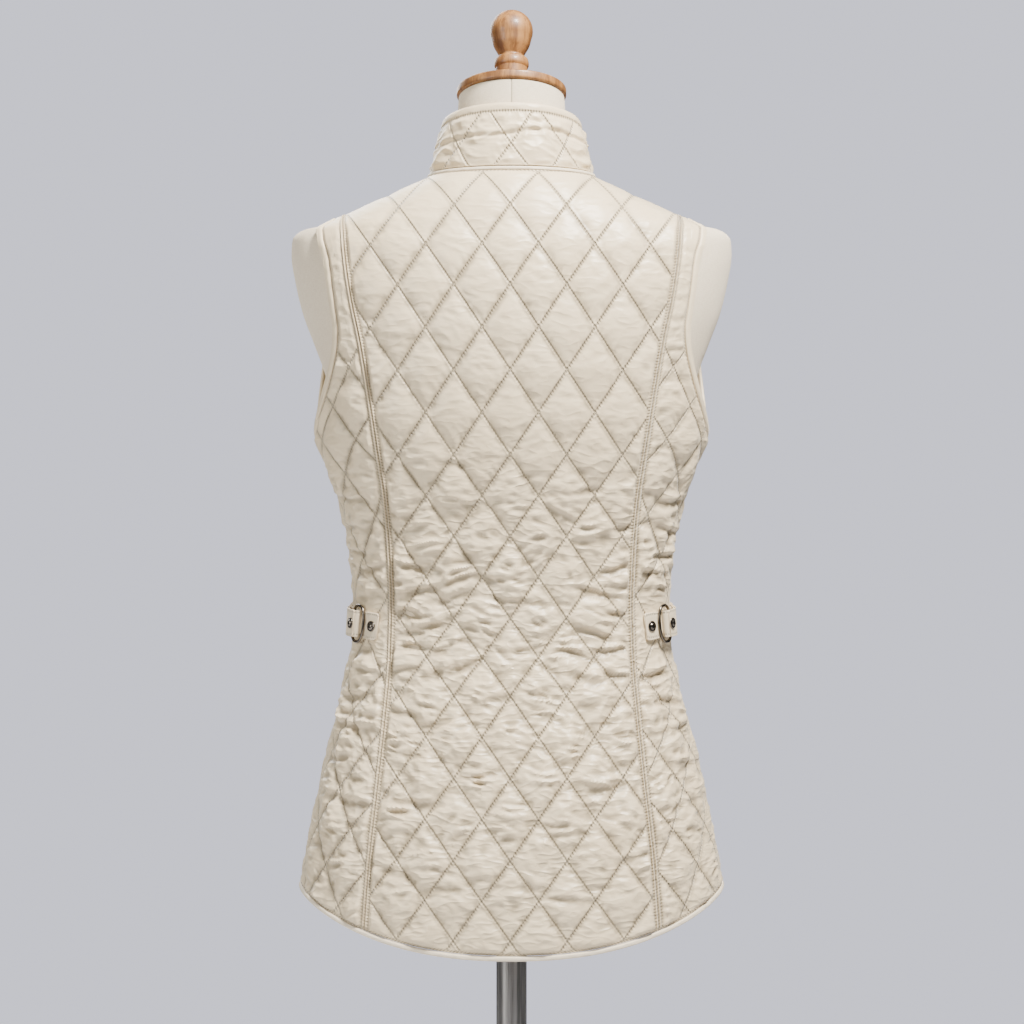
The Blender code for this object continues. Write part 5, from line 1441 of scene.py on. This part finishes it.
@dataclass
class Collar:
    """The quilted stand collar with its rolled top edge, open at the zip."""

    sections: int = 420
    outer_rows: int = 56
    rim_rows: int = 5
    inner_rows: int = 12
    rolled_mm: float = 7.4
    crease_below_mm: float = 27.0

    def build(self) -> Piece:
        """Sweeps the collar's section round the neck: a quilted face, a rolled edge and a plain inside.

        Returns:
            The collar's object.
        """
        quilting = Quilting(5, 2.2)
        rows, end = self.outer_rows, 2.0 - COLLAR_END
        around = np.linspace(-end, end, self.sections)[:, None]
        foot, top = neck_curve(around[:, 0])[:, None], collar_top(around[:, 0])[:, None]
        tall = np.linalg.norm(top - foot, axis=-1) * 1000
        low = (NECK_ROOM + CHORD_SAG) * 1000 / float(tall.min())
        shares = np.linspace(low, 1, rows)[None]
        base = foot + (top - foot) * shares[..., None]
        way = unit(top - foot)
        ahead = np.gradient(base[:, rows // 2], axis=0)[:, None]
        normals = unit(np.cross(way, ahead))
        arcs = lengths_along(base[:, rows // 2:rows // 2 + 1])[:, :1] * 1000
        arcs = arcs - arcs[self.sections // 2] + np.zeros_like(shares)
        full = float(np.linalg.norm(collar_top(0.0) - neck_curve(0.0)))
        counts = VestBody.turned_counts(arcs / 1000, (shares - 0.38) * full + np.zeros_like(arcs))
        below = (1 - shares) * tall
        above = (shares - low) * tall
        relief = quilting.rise(counts) + quilting.folds(counts, 0.9)
        wave = below - self.crease_below_mm - 3.0 * np.sin(arcs / 31) - 1.5 * np.sin(arcs / 13 + 1)
        relief = relief - 1.5 * bump(wave, 2.2) + 0.9 * bump(wave + 4, 2.6)
        tucks = quilting.noises[0].at(arcs / 2.6, below / 14)
        relief = relief * eased(self.rolled_mm, self.rolled_mm + 6, below) * eased(0, 5, above)
        puckered = eased(self.rolled_mm - 1.0, self.rolled_mm + 0.8, below)
        relief = relief + 0.55 * tucks * np.exp(-np.abs(below - self.rolled_mm) / 5) * puckered
        roll = np.clip(1 - ((below - self.rolled_mm / 2) / (self.rolled_mm / 2)) ** 2, 0, 1) ** 0.5
        relief = relief + 0.9 * roll * eased(0, 4, above)
        outer = base + normals * (relief * 0.001)[..., None]
        turn = np.linspace(0, math.pi, self.rim_rows + 2)[1:-1][None, :, None]
        rim = top - normals * WALL / 2 + (normals * np.cos(turn) + way * np.sin(turn) * 0.8) * WALL / 2
        shares_in = np.linspace(1, low, self.inner_rows)[None, :, None]
        inner = foot + (top - foot) * shares_in - normals * WALL
        sections = np.concatenate((outer, rim, inner), axis=1)
        rim_counts = np.repeat(counts[:, -1:], self.rim_rows, axis=1)
        inner_counts = counts[:, np.linspace(rows - 1, 0, self.inner_rows).astype(int)]
        seam = np.full(sections.shape[:2], FAR_MM)
        rest = np.repeat(arcs[:, -1:], self.rim_rows + self.inner_rows, axis=1)
        along = np.concatenate((arcs, rest), axis=1)
        seam[:, :rows] = np.abs(below - self.rolled_mm) + QUILTED.seam_half_mm
        edge = np.full(sections.shape[:2], FAR_MM)
        stitched = np.zeros(sections.shape[:2])
        stitched[:, :rows] = eased(0.3, 1.2, np.minimum(above, below - self.rolled_mm))
        points, faces = swept(sections)
        values = np.concatenate((counts, rim_counts, inner_counts), axis=1).reshape(-1, 2)
        values = np.concatenate((values, values[:1], values[-1:]))

        shares = {"seam_across": seam, "seam_along": along, "edge": edge, "stitched": stitched}
        shares = {name: np.append(grid.ravel(), (0.0, 0.0)) for name, grid in shares.items()}
        piece = add_piece("collar", points, faces, QUILTED, values, shares)
        return piece


@dataclass
class Bindings:
    """The armhole bindings, the hem's piping and the neck's piping."""

    armhole_depth: float = 0.0008
    armhole_cut: float = 0.0092
    hem_thickness: float = 0.0044
    hem_cut: float = 0.0076
    neck_cut: float = 0.0056

    def band(self, middle: Array, normals: Array, width: float, thickness: float, closed: bool,
             tucks: SoftNoise, seam_side: float = 0.0) -> tuple:
        """A soft band along a line: a rounded section with small tucks square to it.

        Args:
            middle: the line it follows.
            normals: directions out of the cloth along it.
            width: across the cloth.
            thickness: through it.
            closed: whether the line returns to its start.
            tucks: noise that the tucks follow.
            seam_side: 1 or -1 where a stitched groove runs along that side, else 0.

        Returns:
            Points, faces and pattern places in millimetres.
        """
        across = unit(np.cross(steps_along(middle, closed), normals))
        side, up = squared_off(full_turn(22), 0.75)
        arcs = lengths_along(middle) * 1000
        noise = tucks.at(arcs[:, None] / 2.8, side[None] * 1.5 + 9)
        lift = 1 + 0.10 * noise * (up > 0)
        groove = bump(side - 0.42 * seam_side, 0.16) * (up > 0) * abs(seam_side)
        lift = lift - 0.30 * groove[None] * (1 + 0.3 * noise)
        sections = (middle[:, None] + across[:, None] * (side * width / 2)[None, :, None]
                    + normals[:, None] * ((up * thickness / 2)[None] * lift)[..., None])
        points, faces = swept(sections, closed)
        places = grid_places(arcs, side * width * 500)
        if not closed:
            places = np.concatenate((places, places[:2]))
        return points, faces, places

    def build(self) -> None:
        """Makes the bindings and pipings."""
        places = np.linspace(0, 1, 500, endpoint=False)
        around, height = moved_aside(armhole_curve, places, BINDING_WIDTH / 2, ARMHOLE_CENTRE)
        base, normals = on_vest(around, height)
        middle = base - normals * self.armhole_depth
        for side, sign in (("left", 1), ("right", -1)):
            points, faces, pattern = self.band(middle, normals, BINDING_WIDTH, BINDING_THICKNESS, True,
                                               SoftNoise(80 + sign), 1)
            piece = add_piece("armhole_binding_" + side, points * (sign, 1, 1), faces, BINDING, pattern)
        end = float(around_at(np.array(ZIP_HALF_GAP), np.array(HEM_FRONT_Z), True))
        around = np.linspace(-end, end, 900)
        height = hem_height(around) + HEM_BINDING_WIDTH / 2
        hem, hem_out = on_vest(around, height)
        around = np.linspace(NECK_FRONT_CORNER - 2.0, 2.0 - NECK_FRONT_CORNER, 360)
        neck = neck_curve(around)
        neck_out = unit(np.cross(unit(collar_top(around) - neck), np.gradient(neck, axis=0)))
        for name, middle, normals, width, thickness, cut, seed in (
                ("hem_binding", hem - hem_out * WALL / 2, hem_out, HEM_BINDING_WIDTH, self.hem_thickness,
                 self.hem_cut, 90),
                ("neck_piping", neck, neck_out, PIPING_RADIUS * 2, PIPING_RADIUS * 2, self.neck_cut, 95)):
            points, faces, pattern = self.band(middle, normals, width, thickness, False, SoftNoise(seed))
            piece = add_piece(name, points, faces, PIPING, pattern)


@dataclass
class StrapLine:
    """The line the left waist straps follow: s runs forward along the cloth from the ring's middle."""

    height: float = 0.0254
    thickness: float = 0.0012
    ring_width: float = 0.0221
    ring_height: float = 0.0366
    wire: float = 0.0027
    slope: float = 0.10

    def __post_init__(self) -> None:
        """Finds where the ring's middle lies and the levels of the strap's layers."""
        self.start = float(CLOTH_MAP.across(np.array(0.752), np.array(TAB_Z)))
        self.bar = (self.ring_width - self.wire) / 2
        self.loop = self.wire / 2 + 0.0012 + self.thickness / 2
        self.lower = 0.0013 + self.thickness / 2
        self.bar_lift = self.lower + self.loop
        self.upper = self.lower + self.thickness + 0.0005

    def base(self, s: Array) -> tuple:
        """The vest's surface points and normals at s."""
        height = TAB_Z + self.slope * s
        return on_vest(CLOTH_MAP.around(self.start + s, height), height)

    def at(self, s: Array, lift: Array) -> Array:
        """Points lifted off the surface."""
        points, normals = self.base(s)
        return points + normals * np.asarray(lift)[..., None]

    def width_way(self, s: Array) -> Array:
        """Unit directions of the strap's width, up along the cloth."""
        forward = self.at(s + 0.0005, 0 * s) - self.at(s - 0.0005, 0 * s)
        return unit(np.cross(self.base(s)[1], forward))

    def ribbon(self, rows: Array, thickness: float, rounded: float = 0.0) -> tuple:
        """A strap layer through rows of (s, lift, share of its width), with rolled edges.

        Args:
            rows: places along the strap.
            thickness: of the layer.
            rounded: how much of each end is rounded at its corners, in metres.

        Returns:
            Points, faces, pattern places in millimetres, and the layer's length.
        """
        lengths = lengths_along(np.stack((rows[:, 0], rows[:, 1]), axis=-1))
        even = np.linspace(0, lengths[-1], max(24, int(lengths[-1] / 0.0007)))
        if rounded:
            ends = np.linspace(0, rounded, 12)
            even = np.unique(np.concatenate((even, ends, lengths[-1] - ends)))
        s, lift, share = (np.interp(even, lengths, rows[:, i]) for i in range(3))
        soft = np.ones(7) / 7
        padded = np.concatenate((np.full(3, lift[0]), lift, np.full(3, lift[-1])))
        lift = np.convolve(padded, soft, "valid")
        if rounded:
            near = np.clip((rounded - np.minimum(even, even[-1] - even)) / rounded, 0, 1)
            share = share * (1 - 0.16 * (1 - np.sqrt(1 - np.clip(near, 0, 0.98) ** 2)))
        middle = self.at(s, lift)
        ways = self.width_way(s)
        thick = unit(np.cross(np.gradient(middle, axis=0), ways))
        side, up = squared_off(full_turn(40), 0.22, 0.30)
        rim = 1 + 0.20 * bump(np.abs(side) - 0.95, 0.05) * (np.abs(up) > 0.3)
        half_way = ways[:, None] * (side * self.height / 2)[None, :, None] * share[:, None, None]
        half_thick = thick[:, None] * (up * rim * thickness / 2)[None, :, None]
        sections = middle[:, None] + half_way + half_thick
        points, faces = swept(sections)
        places = grid_places(even * 1000, side * self.height * 500)
        caps = places[[0, len(places) - len(side)]]
        return points, faces, np.concatenate((places, caps)), float(even[-1])

    def tube(self, line: Array, radius: float, closed: bool, steps: int = 20) -> tuple:
        """A round wire along a line."""
        ahead = unit(steps_along(line, closed))
        flat = unit(np.cross(ahead, line - line.mean(axis=0) + (0, 0, 1e-6)))
        side = np.cross(ahead, flat)
        turn = full_turn(steps)
        return swept(line[:, None] + radius * (flat[:, None] * np.cos(turn)[None, :, None]
                                               + side[:, None] * np.sin(turn)[None, :, None]), closed)


@dataclass
class WaistStraps:
    """Both sides' waist straps with their oval rings and domed snaps."""

    front_length: float = 0.064
    outer_length: float = 0.0175
    back_length: float = 0.0160
    slack: float = 0.0100
    cover_thickness: float = 0.0010
    back_thickness: float = 0.0022
    # Columns: radius, height, rounding.
    snap_profile: tuple = (
        (0, 0.0025, 0), (0.0021, 0.0024, 0.0009), (0.0033, 0.0010, 0.0004), (0.0037, 0.0012, 0.0002),
        (0.0050, 0.0009, 0.0005), (0.0050, 0, 0.0003), (0, 0, 0),
    )

    def snap(self, line: StrapLine, s: float, lift: float) -> tuple:
        """A domed snap on its ring, standing on the strap at s."""
        dome = rounded_profile(self.snap_profile, 5)
        point = line.at(np.array([s]), np.array([lift]))[0]
        out = Vector(line.base(np.array([s]))[1][0])
        up = Vector(line.width_way(np.array([s]))[0])
        side = up.cross(out).normalized()
        turn = Matrix((side, out.cross(side), out)).transposed().to_4x4()
        matrix = Matrix.Translation(Vector(point)) @ turn
        points, faces = turned(dome, 40)
        return moved(points, matrix), faces

    def front_rows(self, line: StrapLine) -> tuple:
        """The front strap's two layers, as rows of (s, lift, share of the width).

        The lower layer wraps the ring's bar in a loop and then lies on the cloth. The cover starts
        beyond the bar and lies on the lower layer.
        """
        bar, lower, crown = line.bar, line.lower, line.bar_lift + line.loop
        stop, half = bar + self.outer_length, bar + self.outer_length / 2
        level = (crown + line.upper) / 2
        slant = math.atan2(crown - line.upper, self.outer_length)
        turn = np.linspace(math.pi * 1.5, math.pi / 2, 15)
        on_cloth = bar + np.arange(self.outer_length + 0.008, self.front_length, 0.006)
        wrap = [(bar + 0.015, lower, 1.0), (bar + 0.0075, lower, 1.0)]
        wrap += [(bar - self.slack + line.loop * math.cos(t), line.bar_lift + line.loop * math.sin(t), 0.97)
                 for t in turn]
        wrap += [(bar + line.loop * math.sin(slant), crown, 0.97), (half, level, 0.97),
                 (stop, line.upper, 0.97)]
        wrap += [(s, lower, 0.97) for s in on_cloth]
        cover = [(bar - 0.0102, crown + 0.0011, 1.0), (bar + 0.0010, crown + 0.0010, 1.0),
                 (half + 0.002, level + 0.0011, 1.0), (stop, line.upper + 0.0011, 1.0)]
        cover += [(s, lower + 0.0013, 1.0) for s in on_cloth]
        return np.array(wrap), np.array(cover)

    def back_rows(self, line: StrapLine) -> Array:
        """The back strap, flat on the cloth under the ring, as rows of (s, lift, share of the width)."""
        bar, lower = line.bar, line.lower
        return np.array(((-0.002, lower + 0.0001, 0.9), (-bar, lower + 0.0002, 0.96),
                         (-bar - 0.006, lower + 0.0005, 1.0),
                         (-bar - self.back_length, lower + 0.0005, 1.0)))

    def build(self) -> None:
        """Makes the straps, rings and snaps of the left side and their mirror images."""
        line = StrapLine()
        bar, lower, bar_lift, loop = line.bar, line.lower, line.bar_lift, line.loop
        under, over = self.front_rows(line)
        wrap = line.ribbon(under, line.thickness)
        cover = line.ribbon(over, self.cover_thickness, 0.0030)
        front, front_faces = merged((wrap[:2], cover[:2]))
        front_places = np.concatenate((wrap[2], cover[2]))
        back = line.ribbon(self.back_rows(line), self.back_thickness, 0.0045)
        bars = line.at(np.array((-bar, bar)), np.full(2, bar_lift))
        up = line.width_way(np.array([0.0]))[0] * (line.ring_height - line.wire) / 2
        wide, high = squared_off(full_turn(96), 2 / 2.4)
        ring = bars.mean(axis=0) + wide[:, None] * (bars[1] - bars[0]) / 2 + high[:, None] * up
        ring, ring_faces = line.tube(ring, line.wire / 2, True)
        snaps = (("front", *self.snap(line, bar - 0.0065, bar_lift + loop + 0.0019)),
                 ("back", *self.snap(line, -bar - 0.0092, lower + 0.0017)))
        for side, sign in (("left", 1), ("right", -1)):
            flip = np.array((sign, 1, 1))
            piece = add_piece("tab_front_" + side, front * flip, front_faces, STRAP, front_places)
            piece = add_piece("tab_back_" + side, back[0] * flip, back[1], STRAP, back[2])
            add_piece("tab_ring_" + side, ring * flip, ring_faces, NICKEL)
            for place, points, faces in snaps:
                add_piece(f"snap_{place}_{side}", points * flip, faces, NICKEL)


@dataclass
class Zip:
    """The closed zip: its chain of teeth, the slider with its bail, and the pull."""

    width: float = 0.0062
    thickness: float = 0.0022
    pitch_mm: float = 2.4
    sunk: float = 0.0009
    plate_half: float = 0.0008
    slider_below: float = 0.0110

    def chain(self) -> Piece:
        """Teeth from both sides meshing along the centre front."""
        body = ring_points(VEST_RINGS, np.full(60, 2.0), np.linspace(HEM_FRONT_Z, NECK_FRONT_Z, 60))
        top, foot = collar_top(2.0), neck_curve(2.0)
        line = np.concatenate((body, foot + (top - foot) * np.linspace(0.25, 1, 4)[:, None])) * (0, 1, 1)
        arcs = lengths_along(line)
        even = np.linspace(0, arcs[-1], 1700)
        line = np.stack([np.interp(even, arcs, line[:, i]) for i in range(3)], axis=-1)
        sideways = np.tile((1.0, 0.0, 0.0), (len(line), 1))
        normals = unit(np.cross(sideways, np.gradient(line, axis=0)))
        side, up = squared_off(full_turn(18) + 0.01, 0.6)
        teeth = np.sin(even[:, None] * 2000 * math.pi / self.pitch_mm + np.where(side > 0, math.pi, 0)[None])
        lift = up * self.thickness / 2 + 0.00035 * teeth * (np.abs(side) < 0.85) * np.sign(up)
        across = sideways[:, None] * (side * self.width / 2)[None, :, None]
        proud = normals[:, None] * lift[..., None]
        points, faces = swept((line - normals * self.sunk)[:, None] + across + proud)
        pattern = grid_places(even * 1000, side * 3)
        pattern = np.concatenate((pattern, pattern[:2]))
        return add_piece("zip_chain", points, faces, ZIP_TAPE, pattern)

    @staticmethod
    def slab(outline: Array, low: float, high: float, rounding: float) -> tuple:
        """A flat plate with rounded rims over an outline that its middle sees whole."""
        middle = outline.mean(axis=0)
        way = unit(outline - middle)
        rows = []
        for height, inset in ((low, 1.0), (low + rounding * 0.3, 0.3), (low + rounding, 0.0),
                              (high - rounding, 0.0), (high - rounding * 0.3, 0.3), (high, 1.0)):
            ring = outline - way * rounding * inset
            rows.append(np.concatenate((ring, np.full((len(ring), 1), height)), axis=1))
        return swept(np.array(rows))

    @staticmethod
    def oval(half_width: float, low: float, high: float, power: float = 4.0, steps: int = 48) -> Array:
        """A rounded-off rectangle."""
        x, y = squared_off(full_turn(steps), 2 / power)
        return np.stack((x * half_width, y * (high - low) / 2 + (high + low) / 2), axis=-1)

    def build(self) -> None:
        """Makes the chain, the slider and the pull."""
        self.chain()
        top, foot = Vector(collar_top(2.0)), Vector(neck_curve(2.0))
        top.x = foot.x = 0.0
        up = (top - foot).normalized()
        out = Vector((1, 0, 0)).cross(up)
        lift = self.thickness / 2 - self.sunk + GAP + self.plate_half
        plate = top - up * self.slider_below + out * lift
        turn = Matrix((Vector((1, 0, 0)), up, out)).transposed().to_4x4()
        half = self.plate_half
        body = self.slab(self.oval(0.0042, -0.0050, 0.0050), -half, half, half / 2)
        arch = np.linspace(0, math.pi, 24)
        line = np.stack((0 * arch, -0.0023 * np.cos(arch), 0.0011 + 0.0023 * np.sin(arch)), axis=-1)
        line = np.concatenate(([[0, -0.0023, -0.0002]], line, [[0, 0.0023, -0.0002]]))
        bail = StrapLine().tube(line + (1e-7, 0, 0), 0.0005, False, 14)
        points, faces = merged((body, bail))
        add_piece("zip_slider", moved(points, Matrix.Translation(plate) @ turn), faces, NICKEL)
        tag = self.slab(self.oval(0.0024, -0.02545, -0.0048, 5.0), -0.0005, 0.0005, 0.0003)
        eye = self.oval(0.0021, -0.0049, 0.0000, 3.0, 40)
        ring = np.concatenate((eye, np.zeros((40, 1))), axis=1)
        loop = StrapLine().tube(ring, 0.00055, True, 14)
        points, faces = merged((tag, loop))
        pin = Matrix.Translation(plate + out * (half + 0.00115)) @ turn
        add_piece("zip_pull", moved(points, pin), faces, NICKEL, body=PULL_BODY)


@dataclass
class DressForm:
    """The linen-covered torso, its turned cap and finial, the steel pole and the base."""

    levels: int = 190
    segments: int = 200
    neck_seam_mm: float = 0.5
    ball_radius: float = 0.0202
    ball_middle: float = 0.0617
    ball_turn: float = 1.93
    pole_radius: float = 0.0143
    pole_foot: float = 0.0553
    # Columns of the profiles: radius, height, rounding. The stem is the finial's below its ball.
    cap_profile: tuple = (
        (0, 0.005, 0), (0.0459, 0.005, 0.0008), (0.0469, 0.0043, 0.0004), (0.0514, 0.0040, 0.0022),
        (0.0514, -0.0040, 0.0022), (0.0474, -0.005, 0.0008), (0, -0.005, 0),
    )
    stem_profile: tuple = (
        (0.0173, 0.0473, 0.0035), (0.0131, 0.0399, 0.0020), (0.0112, 0.0366, 0.0012),
        (0.0122, 0.0351, 0.0005), (0.0152, 0.0338, 0.0012), (0.0164, 0.0300, 0.0016),
        (0.0163, 0.0268, 0.0010), (0.0154, 0.0250, 0.0006), (0.0150, 0.0246, 0.0004),
        (0.0148, 0.0225, 0.0010), (0.0140, 0.0105, 0.0020), (0.0144, 0.0064, 0.0006),
        (0.0142, 0.0053, 0.0003), (0, 0.0053, 0),
    )
    base_profile: tuple = (
        (0, 0.055, 0), (0.028, 0.055, 0.0025), (0.028, 0.020, 0.008), (0.160, 0.016, 0.006),
        (0.19, 0.0118, 0.0035), (0.19, 0, 0.0015), (0, 0, 0),
    )

    def torso(self) -> Piece:
        """The torso: rings of the form's table, tilted forward up the neck, with a sewn centre-back seam."""
        heights = np.linspace(FORM_RINGS[0, 0], FORM_RINGS[-1, 0], 900)
        lengths = lengths_along(np.stack((smooth(FORM_RINGS, 1, heights), heights), axis=-1))
        levels = np.interp(np.linspace(0, lengths[-1], self.levels), lengths, heights)[:, None]
        around = np.linspace(-2, 2, self.segments, endpoint=False)[None]
        rings = ring_points(FORM_RINGS, around, levels)
        tilted = np.clip((rings[..., 2] - NECK_TILT_FROM_Z) / NECK_TILT_OVER, 0, 1)
        arcs = lengths_along(rings.transpose(1, 0, 2)).T * 1000
        middle = self.segments // 2
        sunk = bump(np.abs(arcs - arcs[:, middle:middle + 1]), 1.2) * (rings[..., 2] > NECK_SEAM_FROM_Z)
        normals = ring_normals(FORM_RINGS, around + 0 * levels, levels + 0 * around)
        rings = rings - normals * (sunk * self.neck_seam_mm * 0.001)[..., None]
        rings[..., 2] += math.tan(NECK_TILT) * tilted * (rings[..., 1] - CAP_MIDDLE[1])
        points, faces = swept(rings)
        pattern = np.stack((arcs, (levels + 0 * around) * 1000), axis=-1).reshape(-1, 2)
        pattern = np.concatenate((pattern, pattern[:2]))
        return add_piece("form_body", points, faces, LINEN, pattern)

    def head(self) -> None:
        """The cap and the ball finial, turned in wood and set square on the tilted neck."""
        matrix = Matrix.Translation(CAP_MIDDLE) @ Matrix.Rotation(NECK_TILT, 4, "X")
        points, faces = turned(rounded_profile(self.cap_profile), 128)
        add_piece("neck_cap", moved(points, matrix), faces, WOOD)
        turn = np.linspace(0, self.ball_turn, 30)
        ball = np.stack((np.sin(turn), np.cos(turn)), axis=-1) * self.ball_radius + (0, self.ball_middle)
        stem = rounded_profile(((*ball[-1], 0), *self.stem_profile))
        points, faces = turned(np.concatenate((ball[:-1], stem)), 96)
        add_piece("finial", moved(points, matrix), faces, WOOD)

    def stand(self) -> None:
        """The tube and the round plate with its hub."""
        top, foot, radius = FORM_RINGS[0, 0] - GAP, self.pole_foot, self.pole_radius
        pole = ((0, top, 0), (radius, top, 0.0008), (radius, foot, 0.0008), (0, foot, 0))
        add_piece("pole", *turned(rounded_profile(pole, 4), 96), STEEL)
        add_piece("base", *turned(rounded_profile(self.base_profile, 8), 160), BASE_STEEL)

    def build(self) -> None:
        """Makes the whole form."""
        self.torso()
        self.head()
        self.stand()


FLOOR = Finish("", "floor_paint", (0.78, 0.79, 0.84), (0.76, 0.77, 0.82), roughness=0.8, specular=0.2)
# Columns: name, place, size, power, colour.
LAMPS = (
    ("key_softbox", (-0.62, 0.90, 2.78), 0.40, 154, (1.0, 0.965, 0.92)),
    ("fill_softbox", (2.3, 2.0, 1.7), 1.2, 48, (1.0, 0.99, 0.97)),
    ("far_softbox", (1.2, -2.4, 2.6), 1.8, 85, (1.0, 0.98, 0.96)),
)


@dataclass
class Studio:
    """The plain pale room, its soft light, and the camera at the photograph's angle."""

    def build(self) -> None:
        """Adds the floor, the world's light, the lamps and the camera."""
        scene = bpy.context.scene
        world = bpy.data.worlds.new("studio_air")
        scene.world = world
        world.use_nodes = True
        sheet = NodeSheet(world.node_tree)
        seen = world.node_tree.nodes["Background"]
        seen.inputs["Color"].default_value = (0.955, 0.965, 1.12, 1.0)
        around = sheet.add("ShaderNodeBackground")
        _, toward, up = sheet.parts(sheet.add("ShaderNodeTexCoord").outputs["Generated"])
        glow = sheet.scaled_onto(sheet.ramp(up, -0.4, 0.9), 0.20, 0.05)
        sheet.put(sheet.scaled_onto(sheet.ramp(toward, -0.5, 0.8), 0.05, glow), around.inputs["Strength"])
        around.inputs["Color"].default_value = (0.97, 0.98, 1.0, 1.0)
        both = sheet.add("ShaderNodeMixShader")
        sheet.put(sheet.add("ShaderNodeLightPath").outputs["Is Camera Ray"], both.inputs[0])
        sheet.put(around.outputs[0], both.inputs[1])
        sheet.put(seen.outputs[0], both.inputs[2])
        sheet.put(both.outputs[0], world.node_tree.nodes["World Output"].inputs["Surface"])
        mesh = bpy.data.meshes.new("studio_floor")
        turn = full_turn(96)
        ring = np.stack((2.9 * np.cos(turn), 2.9 * np.sin(turn), np.full(96, -0.0005)), axis=-1)
        mesh.from_pydata(ring.tolist(), [], [tuple(range(96))])
        floor = bpy.data.objects.new("studio_floor", mesh)
        scene.collection.objects.link(floor)
        mesh.materials.append(FLOOR.material())
        for name, place, size, power, colour in LAMPS:
            data = bpy.data.lights.new(name, "AREA")
            data.energy, data.size, data.color = power, size, colour
            lamp = bpy.data.objects.new(name, data)
            lamp.location = place
            lamp.rotation_euler = (Vector((0, 0, 1.12)) - Vector(place)).to_track_quat("-Z", "Y").to_euler()
            scene.collection.objects.link(lamp)
        data = bpy.data.cameras.new("camera")
        data.lens, data.sensor_width = 89.65, 36
        camera = bpy.data.objects.new("camera", data)
        camera.location = (-0.00047, 2.4, 1.1127)
        camera.rotation_euler = (math.pi / 2, 0, math.pi)
        scene.collection.objects.link(camera)
        scene.camera = camera


def main() -> None:
    """Builds every sub-assembly in order."""
    logging.basicConfig(level=logging.INFO, format="%(name)s %(message)s")
    VestBody().build()
    Collar().build()
    Bindings().build()
    WaistStraps().build()
    Zip().build()
    DressForm().build()
    Studio().build()


if __name__ == "__main__":
    main()
